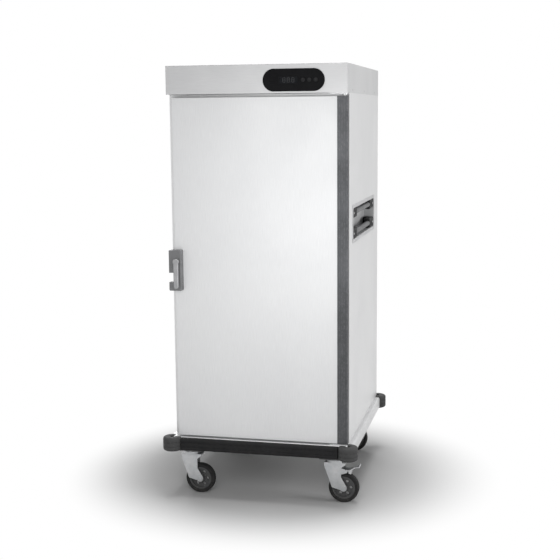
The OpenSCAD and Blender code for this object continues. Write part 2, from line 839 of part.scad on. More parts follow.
module latch_lever() color(bright) {
    grip_y = housing_y - 22;
    rod([spindle_x, door_front_y - 6, spindle_z], 42, 7, [90, 0, 0]);
    // Tongue behind the front wall of the housing
    facing_front(housing_y + 13, housing_y + 19) translate([spindle_x, spindle_z]) {
        circle(8);
        translate([-4, 0]) square([8, 27]);
        translate([0, 27]) circle(4);
    }
    // Turn grip in front
    facing_front(grip_y, grip_y + 12) translate([spindle_x, spindle_z]) {
        circle(13);
        translate([-10, -100]) square([20, 100]);
        translate([0, -100]) circle(10);
    }
}

// Casters, drawn at the swivel axis

module caster_plates() color(bright) at_casters() difference() {
    union() {
        translate([0, 0, race_top]) linear_extrude(4) rounded(100, 85, 8);
        translate([0, 0, race_z]) cylinder(h = 10, r = race_r);
    }
    translate([0, 0, race_z - 1]) cylinder(h = 20, r = axle_r + running);
    caster_bolt_spots() translate([0, 0, race_top - 1]) cylinder(h = 6, r = 4.25);
}

module leg_outline(ear) {
    polygon([
        [-crown_x, cup_z], [crown_x, cup_z], [crown_x, crown_z - 2], [26, crown_z - 18],
        [26, wheel_r + 45], [caster_trail + 14, wheel_r + 5], [caster_trail, wheel_r - 13],
        [caster_trail - 11, wheel_r - 8], [-12, wheel_r + 2], [-crown_x, crown_z - 10]
    ]);
    translate([caster_trail, wheel_r]) circle(14);
    // Ear that holds the brake pedal
    if (ear) translate([pedal_x, pedal_z]) {
        circle(7);
        polygon([[-22, -14], [0, -7], [0, 7], [-22, 14]]);
    }
}

module fork(ear) color(bright) {
    for (s = [-1, 1]) difference() {
        facing_front(s * (leg_gap + 1.5) - 1.5, s * (leg_gap + 1.5) + 1.5) leg_outline(ear);
        if (ear) rod([pedal_x, s * leg_gap + 8, pedal_z], 16, 3 + running, [90, 0, 0]);
    }
    block([-crown_x, -leg_gap, crown_z], [crown_x, leg_gap, cup_z]);
    // Raceway cup, kingpin and its head above the plate
    rotate_extrude() {
        translate([0, cup_z]) square([race_r + 3, race_z - seat - cup_z]);
        translate([0, cup_z]) square([axle_r, caster_height + 0.3 - cup_z]);
        translate([0, caster_height + 0.3]) square([10, 4]);
    }
    // Axle with its two heads
    rod([caster_trail, leg_gap + 7, wheel_r], 2 * leg_gap + 14, axle_r, [90, 0, 0]);
    for (s = [-1, 1])
        facing_front(s * (leg_gap + 5.5) - 2.5, s * (leg_gap + 5.5) + 2.5)
            translate([caster_trail, wheel_r]) circle(10, $fn = 6);
}

module wheel_core() color(grey) translate([caster_trail, 0, wheel_r]) rotate([90, 0, 0]) {
    half = tyre_width / 2;
    difference() {
        rotate_extrude() {
            translate([axle_r + running, -half - 2.4]) square([hub_r - axle_r, 2 * half + 4.8]);
            translate([hub_r - 5, -5]) square([rim_r - hub_r + 9, 10]);
            translate([rim_r, -half + 3]) square([8, 2 * half - 6]);
        }
        // Lightening holes in the web
        for (a = [0 : 60 : 300]) rotate(a) translate([(hub_r + rim_r) / 2, 0, -10])
            cylinder(h = 20, r = (rim_r - hub_r) / 2 - 5.25);
    }
}

module tyre() color([0.08, 0.08, 0.08]) translate([caster_trail, 0, wheel_r]) rotate([90, 0, 0]) {
    half = tyre_width / 2;
    inner = wheel_r - 15;
    rotate_extrude($fn = 96) {
        translate([inner, -half + 3]) square([9, 2 * half - 6]);
        translate([inner + 3, -half]) square([6, 2 * half]);
        translate([inner + 6, -half + 6]) square([9, 2 * half - 12]);
        for (s = [-1, 1]) {
            translate([wheel_r - 6, s * (half - 6)]) circle(6);
            translate([inner + 3, s * (half - 3)]) circle(3);
        }
    }
}

module pedal() color(bright) {
    rod([pedal_x, leg_gap + 5, pedal_z], 2 * leg_gap + 10, 3, [90, 0, 0]);
    facing_front(-leg_gap + 0.6, leg_gap - 0.6) translate([pedal_x, pedal_z]) {
        circle(5.5);
        polygon([
            [0, 5.5], [0, 1], [19, 3], [39, 16], [57, 18],
            [57, 26], [54, 26], [54, 21], [37, 19.5], [17, 6.5]
        ]);
        // Shoe over the tread
        polygon([[9, 4.2], [12, -8.7], [22, -11], [24, 6.5]]);
    }
}

// The rear pair trails the other way
module place_caster(sx, sy) {
    translate([sx * caster_x, sy * caster_y, 0]) rotate(90 + 90 * sy) children();
}

module fork_fl() place_caster(-1, -1) fork(false);
module fork_fr() place_caster(1, -1) fork(true);
module fork_rl() place_caster(-1, 1) fork(false);
module fork_rr() place_caster(1, 1) fork(true);
module wheel_fl() place_caster(-1, -1) wheel_core();
module wheel_fr() place_caster(1, -1) wheel_core();
module wheel_rl() place_caster(-1, 1) wheel_core();
module wheel_rr() place_caster(1, 1) wheel_core();
module tyre_fl() place_caster(-1, -1) tyre();
module tyre_fr() place_caster(1, -1) tyre();
module tyre_rl() place_caster(-1, 1) tyre();
module tyre_rr() place_caster(1, 1) tyre();
module pedal_fr() place_caster(1, -1) pedal();
module pedal_rr() place_caster(1, 1) pedal();

base_frame();
front_sill();
outer_wrap();
back_panel();
side_insulation();
back_insulation();
floor_roof_insulation();
inner_liner();
seal_frame();
cap_fascia();
cap_lid();
cap_deck();
control_panel();
display_window();
button_set();
button_up();
button_down();
power_rocker();
controller_box();
rack_posts();
tray_runners();
air_duct();
fan_motor();
fan_impeller();
heater_element();
water_pan();
hinge_brackets();
latch_keeper();
bumper_rails();
side_rails();
corner_bumpers();
handle_pans();
grip_bars();
grip_sockets();
power_inlet();
cabinet_screws();
door_shell();
door_profile();
door_inner();
door_insulation();
door_gasket();
hinge_bushes();
latch_housing();
latch_lever();
caster_plates();
fork_fl();
fork_fr();
fork_rl();
fork_rr();
wheel_fl();
wheel_fr();
wheel_rl();
wheel_rr();
tyre_fl();
tyre_fr();
tyre_rl();
tyre_rr();
pedal_fr();
pedal_rr();
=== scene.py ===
# Heated meal tray cart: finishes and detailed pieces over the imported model
import bpy
import bmesh
import json
import math
from mathutils import Matrix, Vector


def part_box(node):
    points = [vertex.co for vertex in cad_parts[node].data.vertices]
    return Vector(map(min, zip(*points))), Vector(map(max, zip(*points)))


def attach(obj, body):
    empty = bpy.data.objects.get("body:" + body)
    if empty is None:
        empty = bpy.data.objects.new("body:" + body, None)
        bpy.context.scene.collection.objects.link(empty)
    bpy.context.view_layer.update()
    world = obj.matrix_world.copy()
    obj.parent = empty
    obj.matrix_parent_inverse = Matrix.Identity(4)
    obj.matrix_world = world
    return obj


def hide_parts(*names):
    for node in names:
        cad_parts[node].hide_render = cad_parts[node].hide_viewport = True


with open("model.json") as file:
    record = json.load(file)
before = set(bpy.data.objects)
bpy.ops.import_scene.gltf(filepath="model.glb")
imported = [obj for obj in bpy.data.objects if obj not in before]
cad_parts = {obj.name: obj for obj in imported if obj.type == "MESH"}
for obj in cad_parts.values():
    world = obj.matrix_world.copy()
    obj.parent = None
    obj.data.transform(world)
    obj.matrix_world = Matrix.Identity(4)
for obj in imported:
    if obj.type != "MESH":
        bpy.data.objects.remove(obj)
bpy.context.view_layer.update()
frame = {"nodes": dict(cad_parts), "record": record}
nodes = frame["nodes"]
print("cart loaded with", len(nodes), "nodes")


cameraPlace = {"yaw": 12.99, "pitch": 8.48, "roll": -0.47, "distance": 4.793,
               "aim": (-0.003, 0.0, 0.858), "lens": 70.59}

studio = {
    "skyForLight": 0.16, "skySeen": 1.0,
    "lamps": {
        "frontKey": {"place": (0.18, -1.95, 1.16), "size": (1.1, 1.1), "power": 11.6},
        "sideRight": {"place": (2.8, -0.5, 1.25), "size": (1.1, 1.1), "power": 21.5},
        "overhead": {"place": (0.2, 0.1, 4.2), "size": (2.0, 2.0), "power": 95},
        "backLeft": {"place": (-1.8, 3.2, 2.2), "size": (1.8, 2.0), "power": 30},
    },
    # painted shade: floorColour greys the floor near the cart to deepen its shadow; from whiteFrom to
    # whiteTo, in metres from the cart's middle, the seen floor turns white
    "floorColour": (0.66, 0.66, 0.66), "whiteFrom": 0.52, "whiteTo": 0.98,
}


def feed(tree, node, values):
    # a socket among the values is linked, any other value is set
    for key, value in values.items():
        if isinstance(value, bpy.types.NodeSocket):
            tree.links.new(value, node.inputs[key])
        else:
            node.inputs[key].default_value = value


def addNode(tree, kind, values=None, **settings):
    node = tree.nodes.new(kind)
    for key, value in settings.items():
        setattr(node, key, value)
    feed(tree, node, values or {})
    return node


def reckon(tree, operation, first, second, **settings):
    node = addNode(tree, "ShaderNodeMath", {0: first, 1: second}, operation=operation, **settings)
    return node.outputs[0]


def startMaterial(name):
    material = bpy.data.materials.new(name)
    material.use_nodes = True
    tree = material.node_tree
    return material, tree, tree.nodes["Principled BSDF"]


def placeCamera():
    yaw, pitch, roll = (math.radians(cameraPlace[k]) for k in ("yaw", "pitch", "roll"))
    look = Vector((-math.sin(yaw) * math.cos(pitch), math.cos(yaw) * math.cos(pitch), -math.sin(pitch)))
    right = look.cross(Vector((0, 0, 1))).normalized()
    up = right.cross(look)
    turnedRight = right * math.cos(roll) + up * math.sin(roll)
    turnedUp = up * math.cos(roll) - right * math.sin(roll)
    data = bpy.data.cameras.new("cartCamera")
    data.sensor_width = 36
    data.lens = cameraPlace["lens"]
    camera = bpy.data.objects.new("cartCamera", data)
    bpy.context.scene.collection.objects.link(camera)
    place = Vector(cameraPlace["aim"]) - look * cameraPlace["distance"]
    turn = Matrix((turnedRight, turnedUp, -look)).transposed().to_4x4()
    camera.matrix_world = Matrix.Translation(place) @ turn
    bpy.context.scene.camera = camera


def lightStudio():
    for name, lamp in studio["lamps"].items():
        data = bpy.data.lights.new(name, "AREA")
        data.shape = "RECTANGLE"
        data.size, data.size_y = lamp["size"]
        data.energy = lamp["power"]
        light = bpy.data.objects.new(name, data)
        light.location = lamp["place"]
        aim = Vector((0, 0, 0.9)) - Vector(lamp["place"])
        light.rotation_euler = aim.to_track_quat("-Z", "Y").to_euler()
        bpy.context.scene.collection.objects.link(light)
    world = bpy.data.worlds.new("studioSky")
    bpy.context.scene.world = world
    world.use_nodes = True
    tree = world.node_tree
    sky = tree.nodes["Background"]
    sky.inputs["Color"].default_value = (1, 1, 1, 1)
    strength = addNode(tree, "ShaderNodeMapRange", {
        "Value": seenRays(tree), "To Min": studio["skyForLight"], "To Max": studio["skySeen"]})
    tree.links.new(strength.outputs["Result"], sky.inputs["Strength"])
    bpy.context.scene.view_settings.view_transform = "Standard"


def seenRays(tree):
    # camera, glossy and transmission rays all meet the same white
    path = addNode(tree, "ShaderNodeLightPath").outputs
    total = path["Is Camera Ray"]
    for kind in ("Is Glossy Ray", "Is Transmission Ray"):
        total = reckon(tree, "MAXIMUM", total, path[kind])
    return total


def layFloor():
    bm = bmesh.new()
    bmesh.ops.create_grid(bm, x_segments=8, y_segments=8, size=30)
    mesh = bpy.data.meshes.new("studioFloor")
    bm.to_mesh(mesh)
    bm.free()
    floor = bpy.data.objects.new("studioFloor", mesh)
    bpy.context.scene.collection.objects.link(floor)
    material, tree = startMaterial("studioFloor")[:2]
    tree.nodes.clear()
    # painted shade: the grey paper shows only near the cart, a darker pool that deepens the cart's shadow
    paper = addNode(tree, "ShaderNodeBsdfDiffuse", {"Color": (*studio["floorColour"], 1)})
    white = addNode(tree, "ShaderNodeEmission", {"Color": (1, 1, 1, 1)})
    place = addNode(tree, "ShaderNodeTexCoord").outputs["Object"]
    reach = addNode(tree, "ShaderNodeVectorMath", {0: place}, operation="LENGTH")
    away = addNode(tree, "ShaderNodeMapRange", {
        "Value": reach.outputs["Value"], "From Min": studio["whiteFrom"], "From Max": studio["whiteTo"],
    }, interpolation_type="SMOOTHSTEP")
    whitened = reckon(tree, "MULTIPLY", seenRays(tree), away.outputs["Result"])
    mix = addNode(tree, "ShaderNodeMixShader", {"Fac": whitened, 1: paper.outputs[0], 2: white.outputs[0]})
    addNode(tree, "ShaderNodeOutputMaterial", {"Surface": mix.outputs[0]})
    mesh.materials.append(material)


placeCamera()
lightStudio()
layFloor()
print("camera, lamps and floor are in place")


def startGroup(name, inputs, output):
    group = bpy.data.node_groups.new(name, "ShaderNodeTree")
    kinds = {float: "NodeSocketFloat", tuple: "NodeSocketVector"}
    for label, value in inputs.items():
        socket = group.interface.new_socket(name=label, in_out="INPUT", socket_type=kinds[type(value)])
        socket.default_value = value
    group.interface.new_socket(name=output, in_out="OUTPUT", socket_type="NodeSocketFloat")
    given = addNode(group, "NodeGroupInput").outputs
    place = addNode(group, "ShaderNodeTexCoord").outputs["Object"]
    return group, given, place


def spreadOut(group, value, low, high, **settings):
    limits = {"Value": value, "From Min": low, "From Max": high}
    return addNode(group, "ShaderNodeMapRange", limits, **settings).outputs["Result"]


def makeNoise(group, place, scale, **more):
    noise = addNode(group, "ShaderNodeTexNoise", {"Vector": place, "Scale": scale, **more})
    return noise.outputs["Fac"]


def makeBrushedLines():
    # fine parallel lines left by the belt that finished the sheet
    usual = {"Stretch": (300.0, 300.0, 6.0), "Contrast": 1.0}
    group, given, place = startGroup("brushedLines", usual, "Lines")
    pull = addNode(group, "ShaderNodeMapping", {"Vector": place, "Scale": given["Stretch"]},
                   vector_type="POINT")
    fine = makeNoise(group, pull.outputs[0], 3.0, Detail=5.0, Roughness=0.7)
    soft = reckon(group, "SUBTRACT", spreadOut(group, fine, 0.32, 0.68), 0.5)
    strong = reckon(group, "MULTIPLY", soft, given["Contrast"])
    addNode(group, "NodeGroupOutput", {"Lines": reckon(group, "ADD", strong, 0.5, use_clamp=True)})
    return group


def makeBroadPatches():
    # slow change over the sheet, from rolling, wiping and handling
    group, given, place = startGroup("broadPatches", {"Scale": 3.0, "Softness": 0.3}, "Patches")
    cloud = makeNoise(group, place, given["Scale"], Detail=4.0, Roughness=0.55, Distortion=0.4)
    low = reckon(group, "SUBTRACT", 0.5, given["Softness"])
    high = reckon(group, "ADD", 0.5, given["Softness"])
    patches = spreadOut(group, cloud, low, high, interpolation_type="SMOOTHSTEP")
    addNode(group, "NodeGroupOutput", {"Patches": patches})
    return group


def makeEdgeWear():
    # the rim of a shape, broken up by noise
    group, given, place = startGroup("edgeWear", {"Width": 0.002, "Breaks": 90.0, "Amount": 0.6}, "Wear")
    rim = addNode(group, "ShaderNodeBevel", {"Radius": given["Width"]}, samples=4)
    flat = addNode(group, "ShaderNodeNewGeometry")
    same = addNode(group, "ShaderNodeVectorMath", {0: rim.outputs["Normal"], 1: flat.outputs["Normal"]},
                   operation="DOT_PRODUCT")
    bent = spreadOut(group, same.outputs["Value"], 0.995, 0.86)
    chips = makeNoise(group, place, given["Breaks"], Detail=5.0, Roughness=0.6)
    both = reckon(group, "MULTIPLY", bent, spreadOut(group, chips, 0.40, 0.62))
    wear = reckon(group, "MULTIPLY", both, given["Amount"], use_clamp=True)
    addNode(group, "NodeGroupOutput", {"Wear": wear})
    return group


def makeFloorDust():
    # grime that gathers towards the floor
    group, given, place = startGroup("floorDust", {"Top": 0.30, "Grain": 60.0, "Amount": 0.5}, "Dust")
    height = addNode(group, "ShaderNodeSeparateXYZ", {0: place}).outputs["Z"]
    low = spreadOut(group, height, given["Top"], 0.0)
    speck = makeNoise(group, place, given["Grain"], Detail=6.0, Roughness=0.7)
    both = reckon(group, "MULTIPLY", low, spreadOut(group, speck, 0.38, 0.70))
    dust = reckon(group, "MULTIPLY", both, given["Amount"], use_clamp=True)
    addNode(group, "NodeGroupOutput", {"Dust": dust})
    return group


def makeMouldGrain():
    # leathery texture of mouldings, castings and powder coat
    group, given, place = startGroup("mouldGrain", {"Scale": 900.0, "Pits": 0.5}, "Grain")
    bumps = addNode(group, "ShaderNodeTexVoronoi", {
        "Vector": place, "Scale": given["Scale"], "Randomness": 1.0}, feature="SMOOTH_F1")
    cloud = makeNoise(group, place, given["Scale"], Detail=3.0)
    mix = addNode(group, "ShaderNodeMix", {
        "Factor": given["Pits"], "A": cloud, "B": bumps.outputs["Distance"]})
    addNode(group, "NodeGroupOutput", {"Grain": mix.outputs["Result"]})
    return group


effects = {
    "lines": makeBrushedLines(), "patches": makeBroadPatches(), "wear": makeEdgeWear(),
    "dust": makeFloorDust(), "grain": makeMouldGrain(),
}
print("shared effects:", ", ".join(effects))


def placeEffect(tree, effect, values):
    return addNode(tree, "ShaderNodeGroup", values, node_tree=effects[effect]).outputs[0]


def mixColour(tree, mask, below, above):
    paint = {"Factor": mask}
    for socket, value in ((6, below), (7, above)):
        paint[socket] = (*value, 1) if isinstance(value, tuple) else value
    return addNode(tree, "ShaderNodeMix", paint, data_type="RGBA", clamp_factor=True).outputs[2]


def sumOf(tree, parts, base):
    # base + every mask times its own weight
    total = base
    for mask, weight in parts:
        step = addNode(tree, "ShaderNodeMath", {0: mask, 1: weight, 2: total}, operation="MULTIPLY_ADD")
        total = step.outputs[0]
    return total


usualLook = {
    "patchScale": 3.0, "patchSoftness": 0.28, "patchRough": 0.08,
    "lineTint": 0.12, "lineRough": 0.10, "lineDepth": 0.00002,
    "grainTint": 0.15, "grainRough": 0.08, "grainDepth": 0.0001,
    "wearWidth": 0.002, "wearBreaks": 90.0, "wearAmount": 0.6, "wearRough": -0.05,
    "dustTop": 0.30, "dustRough": 0.25, "dustColour": (0.33, 0.31, 0.28),
    "metallic": 0.0, "shader": {},
}


def makeFinish(name, ownLook):
    look = {**usualLook, **ownLook}
    material, tree, shader = startMaterial(name)
    patches = placeEffect(tree, "patches", {"Scale": look["patchScale"], "Softness": look["patchSoftness"]})
    colour = mixColour(tree, patches, look["colour"], look["shade"])
    rough = [(patches, look["patchRough"])]
    heights = []
    for effect, word, setting in (("lines", "line", "Stretch"), ("grain", "grain", "Scale")):
        if effect in look:
            mask = placeEffect(tree, effect, {setting: look[effect]})
            darker = mixColour(tree, look[word + "Tint"], colour, (0.0, 0.0, 0.0))
            colour = mixColour(tree, mask, darker, colour)
            rough.append((mask, look[word + "Rough"]))
            heights.append((mask, look[word + "Depth"]))
    if "worn" in look:
        wear = placeEffect(tree, "wear", {"Width": look["wearWidth"], "Breaks": look["wearBreaks"],
                                          "Amount": look["wearAmount"]})
        colour = mixColour(tree, wear, colour, look["worn"])
        rough.append((wear, look["wearRough"]))
    if "dust" in look:
        dust = placeEffect(tree, "dust", {"Top": look["dustTop"], "Amount": look["dust"]})
        colour = mixColour(tree, dust, colour, look["dustColour"])
        rough.append((dust, look["dustRough"]))
    normal = {}
    if "softEdge" in look:
        rim = addNode(tree, "ShaderNodeBevel", {"Radius": look["softEdge"]}, samples=4)
        normal["Normal"] = rim.outputs["Normal"]
    for height, depth in heights:
        relief = {"Strength": 1.0, "Distance": depth, "Height": height, **normal}
        bump = addNode(tree, "ShaderNodeBump", relief)
        normal["Normal"] = bump.outputs["Normal"]
    feed(tree, shader, {"Base Color": colour, "Roughness": sumOf(tree, rough, look["roughness"]),
                        "Metallic": look["metallic"], **normal, **look["shader"]})
    return material


upLines = (420.0, 420.0, 7.0)      # grain that runs up and down
acrossLines = (7.0, 420.0, 420.0)  # grain that runs left to right
deepLines = (420.0, 7.0, 420.0)    # grain that runs front to back

finishLooks = {
    "doorSteel": {
        "colour": (0.86, 0.865, 0.87), "shade": (0.80, 0.805, 0.815), "metallic": 0.35, "roughness": 0.42,
        "lines": upLines, "patchScale": 1.6, "worn": (0.92, 0.92, 0.93), "softEdge": 0.0015},
    "wrapSteel": {
        "colour": (0.82, 0.822, 0.825), "shade": (0.76, 0.763, 0.77), "metallic": 0.5, "roughness": 0.36,
        "lines": upLines, "patchScale": 1.8, "worn": (0.90, 0.90, 0.91), "softEdge": 0.0012},
    "capSteel": {
        "colour": (0.71, 0.712, 0.718), "shade": (0.64, 0.643, 0.65), "metallic": 0.4, "roughness": 0.36,
        "lines": acrossLines, "patchScale": 2.4, "worn": (0.82, 0.82, 0.83), "softEdge": 0.0015},
    # painted shade: the lid and deck steel is a darker copy of the cap's steel, its colour cut to about six
    # tenths so the top stays below white under the overhead lamp
    "shadedLidSteel": {
        "colour": (0.407, 0.408, 0.411), "shade": (0.374, 0.376, 0.380), "metallic": 0.6,
        "roughness": 0.34, "lines": acrossLines, "patchScale": 2.0, "worn": (0.85, 0.85, 0.86),
        "softEdge": 0.0012},
    "innerSteel": {
        "colour": (0.62, 0.625, 0.63), "shade": (0.54, 0.545, 0.55), "metallic": 0.85, "roughness": 0.30,
        "lines": upLines, "patchScale": 4.0, "worn": (0.75, 0.75, 0.76), "softEdge": 0.0008},
    "railSteel": {
        "colour": (0.74, 0.742, 0.748), "shade": (0.66, 0.663, 0.67), "metallic": 0.7, "roughness": 0.34,
        "lines": deepLines, "patchScale": 5.0, "worn": (0.70, 0.70, 0.71), "dust": 0.35,
        "softEdge": 0.0010},
    "panSteel": {
        "colour": (0.72, 0.723, 0.73), "shade": (0.64, 0.643, 0.65), "metallic": 0.1, "roughness": 0.45,
        "lines": deepLines, "patchScale": 8.0, "worn": (0.62, 0.62, 0.63), "softEdge": 0.0006},
    # painted shade: the grip bars' steel is darkened far below the other steel so that the bars carry the
    # shade of the handle recess
    "shadedGripSteel": {
        "colour": (0.15, 0.152, 0.156), "shade": (0.11, 0.112, 0.115), "metallic": 0.6, "roughness": 0.42,
        "lines": deepLines, "patchScale": 12.0, "worn": (0.60, 0.60, 0.61)},
    "zincPlate": {
        "colour": (0.60, 0.605, 0.615), "shade": (0.46, 0.475, 0.49), "metallic": 0.75, "roughness": 0.28,
        "grain": 260.0, "grainDepth": 0.00003, "grainTint": 0.08, "patchScale": 26.0,
        "worn": (0.82, 0.82, 0.83), "dust": 0.35, "softEdge": 0.0008},
    "screwSteel": {
        "colour": (0.60, 0.60, 0.61), "shade": (0.45, 0.45, 0.46), "metallic": 0.9, "roughness": 0.28,
        "grain": 700.0, "grainDepth": 0.00002, "patchScale": 60.0, "worn": (0.75, 0.75, 0.76)},
    "profileDark": {
        "colour": (0.105, 0.108, 0.115), "shade": (0.075, 0.078, 0.083), "metallic": 0.55,
        "roughness": 0.40, "lines": upLines, "lineTint": 0.35, "patchScale": 6.0,
        "worn": (0.42, 0.42, 0.43), "wearAmount": 0.5, "softEdge": 0.0004},
    "latchCasting": {
        "colour": (0.23, 0.232, 0.238), "shade": (0.18, 0.182, 0.187), "metallic": 0.3, "roughness": 0.42,
        "grain": 700.0, "grainDepth": 0.00010, "patchScale": 20.0, "worn": (0.55, 0.55, 0.56),
        "wearAmount": 0.7, "wearWidth": 0.0016},
    "leverChrome": {
        "colour": (0.40, 0.403, 0.41), "shade": (0.31, 0.312, 0.318), "metallic": 0.9, "roughness": 0.30,
        "grain": 300.0, "grainDepth": 0.00002, "patchScale": 30.0, "worn": (0.72, 0.72, 0.72),
        "wearWidth": 0.0012},
    "panelBlack": {
        "colour": (0.006, 0.006, 0.007), "shade": (0.004, 0.004, 0.005), "roughness": 0.46,
        "grain": 1500.0, "grainDepth": 0.00004, "grainRough": 0.12, "patchScale": 30.0,
        "worn": (0.05, 0.05, 0.052), "wearAmount": 0.25, "wearWidth": 0.001,
        "shader": {"Specular IOR Level": 0.09}},
    "keyRubber": {
        "colour": (0.024, 0.024, 0.026), "shade": (0.017, 0.017, 0.019), "roughness": 0.60,
        "grain": 1900.0, "grainDepth": 0.00004, "patchScale": 60.0, "worn": (0.07, 0.07, 0.07),
        "wearWidth": 0.0008, "shader": {"Specular IOR Level": 0.25}},
    "socketBlack": {
        "colour": (0.014, 0.014, 0.015), "shade": (0.010, 0.010, 0.011), "roughness": 0.56,
        "grain": 1100.0, "grainDepth": 0.00010, "patchScale": 24.0, "worn": (0.040, 0.040, 0.041),
        "wearWidth": 0.0014, "shader": {"Specular IOR Level": 0.25}},
    "bumperVinyl": {
        "colour": (0.012, 0.012, 0.013), "shade": (0.009, 0.009, 0.010), "roughness": 0.56,
        "grain": 800.0, "grainDepth": 0.00008, "patchScale": 9.0, "worn": (0.045, 0.045, 0.046),
        "wearAmount": 0.4, "wearBreaks": 60.0, "dust": 0.05, "dustTop": 0.40,
        "shader": {"Specular IOR Level": 0.22}},
    "cornerRubber": {
        "colour": (0.078, 0.078, 0.079), "shade": (0.062, 0.062, 0.063), "roughness": 0.60,
        "grain": 620.0, "grainDepth": 0.00012, "patchScale": 14.0, "worn": (0.055, 0.055, 0.056),
        "wearAmount": 0.4, "wearBreaks": 50.0, "dust": 0.08, "dustTop": 0.40,
        "shader": {"Specular IOR Level": 0.25}},
    "chassisPaint": {
        "colour": (0.055, 0.056, 0.060), "shade": (0.040, 0.041, 0.044), "metallic": 0.1,
        "roughness": 0.44, "grain": 900.0, "grainDepth": 0.00008, "patchScale": 6.0,
        "worn": (0.22, 0.21, 0.20), "dust": 0.45, "dustTop": 0.36},
    "tyreRubber": {
        "colour": (0.015, 0.015, 0.016), "shade": (0.022, 0.022, 0.023), "roughness": 0.68,
        "grain": 520.0, "grainDepth": 0.00014, "patchScale": 30.0, "worn": (0.045, 0.044, 0.043),
        "wearAmount": 0.4, "dust": 0.16, "dustTop": 0.14, "shader": {"Specular IOR Level": 0.25}},
    "hubPlastic": {
        "colour": (0.075, 0.076, 0.079), "shade": (0.055, 0.056, 0.058), "roughness": 0.46,
        "grain": 800.0, "grainDepth": 0.00008, "patchScale": 22.0, "worn": (0.16, 0.16, 0.16),
        "dust": 0.20, "dustTop": 0.14},
    "mineralWool": {
        "colour": (0.62, 0.54, 0.30), "shade": (0.50, 0.42, 0.22), "roughness": 0.92, "grain": 260.0,
        "grainDepth": 0.0012, "grainTint": 0.45, "patchScale": 14.0, "lines": (60.0, 60.0, 260.0),
        "lineTint": 0.2, "lineDepth": 0.0006, "shader": {"Sheen Weight": 0.3}},
    "gasketRubber": {
        "colour": (0.040, 0.040, 0.043), "shade": (0.028, 0.028, 0.030), "roughness": 0.58,
        "grain": 1200.0, "grainDepth": 0.00006, "patchScale": 18.0, "worn": (0.10, 0.10, 0.10),
        "wearWidth": 0.001},
    "bronze": {
        "colour": (0.56, 0.40, 0.20), "shade": (0.42, 0.29, 0.14), "metallic": 0.95, "roughness": 0.30,
        "grain": 500.0, "grainDepth": 0.00003, "patchScale": 50.0, "worn": (0.72, 0.56, 0.32)},
    "motorPaint": {
        "colour": (0.16, 0.162, 0.168), "shade": (0.12, 0.122, 0.126), "metallic": 0.2, "roughness": 0.46,
        "grain": 700.0, "grainDepth": 0.00008, "patchScale": 18.0, "worn": (0.40, 0.40, 0.40)},
    "casePaint": {
        "colour": (0.36, 0.37, 0.38), "shade": (0.30, 0.31, 0.32), "metallic": 0.1, "roughness": 0.45,
        "grain": 900.0, "grainDepth": 0.00006, "patchScale": 12.0, "worn": (0.56, 0.56, 0.56)},
    "castAlloy": {
        "colour": (0.62, 0.625, 0.63), "shade": (0.50, 0.505, 0.51), "metallic": 0.85, "roughness": 0.38,
        "grain": 600.0, "grainDepth": 0.00008, "patchScale": 24.0, "worn": (0.78, 0.78, 0.78)},
    "unlitBars": {
        "colour": (0.045, 0.045, 0.050), "shade": (0.034, 0.034, 0.038), "roughness": 0.30,
        "grain": 2400.0, "grainDepth": 0.00001, "patchScale": 90.0},
    "heatTinted": {
        "colour": (0.34, 0.27, 0.20), "shade": (0.20, 0.17, 0.19), "metallic": 0.85, "roughness": 0.36,
        "grain": 400.0, "grainDepth": 0.00004, "patchScale": 40.0, "worn": (0.48, 0.40, 0.30)},
}

finishes = {name: makeFinish(name, look) for name, look in finishLooks.items()}


def makeDisplayGlass():
    material, tree, shader = startMaterial("displayGlass")
    smears = placeEffect(tree, "patches", {"Scale": 60.0, "Softness": 0.35})
    grain = placeEffect(tree, "grain", {"Scale": 220.0, "Pits": 0.2})
    bump = addNode(tree, "ShaderNodeBump", {"Strength": 0.4, "Distance": 0.00003, "Height": grain})
    feed(tree, shader, {"Base Color": mixColour(tree, smears, (0.007, 0.008, 0.010), (0.012, 0.013, 0.016)),
                        "Roughness": sumOf(tree, [(smears, 0.12)], 0.22),
                        "Normal": bump.outputs["Normal"], "Specular IOR Level": 0.06})
    return material


finishes["displayGlass"] = makeDisplayGlass()
print("finishes:", len(finishes))

finishOfNode = {
    "doorSteel": ["door_shell"],
    "wrapSteel": ["outer_wrap", "back_panel", "front_sill", "seal_frame"],
    "capSteel": ["cap_fascia"],
    "shadedLidSteel": ["cap_lid", "cap_deck"],
    "innerSteel": ["inner_liner", "rack_posts", "tray_runners", "air_duct", "water_pan", "door_inner",
                   "hinge_brackets", "latch_keeper"],
    "railSteel": ["side_rails"],
    "panSteel": ["handle_pans"],
    "shadedGripSteel": ["grip_bars"],
    "zincPlate": ["caster_plates", "fork_fl", "fork_fr", "fork_rl", "fork_rr", "pedal_fr", "pedal_rr"],
    "screwSteel": ["cabinet_screws"],
    "profileDark": ["door_profile"],
    "latchCasting": ["latch_housing"],
    "leverChrome": ["latch_lever"],
    "panelBlack": ["control_panel", "power_rocker"],
    "keyRubber": ["button_set", "button_up", "button_down"],
    "socketBlack": ["grip_sockets", "power_inlet"],
    "bumperVinyl": ["bumper_rails"],
    "cornerRubber": ["corner_bumpers"],
    "chassisPaint": ["base_frame"],
    "tyreRubber": ["tyre_fl", "tyre_fr", "tyre_rl", "tyre_rr"],
    "hubPlastic": ["wheel_fl", "wheel_fr", "wheel_rl", "wheel_rr"],
    "mineralWool": ["side_insulation", "back_insulation", "floor_roof_insulation", "door_insulation"],
    "gasketRubber": ["door_gasket"],
    "bronze": ["hinge_bushes"],
    "motorPaint": ["fan_motor"],
    "casePaint": ["controller_box"],
    "castAlloy": ["fan_impeller"],
    "heatTinted": ["heater_element"],
    "displayGlass": ["display_window"],
}
for finish, members in finishOfNode.items():
    for member in members:
        nodes[member].data.materials.clear()
        nodes[member].data.materials.append(finishes[finish])
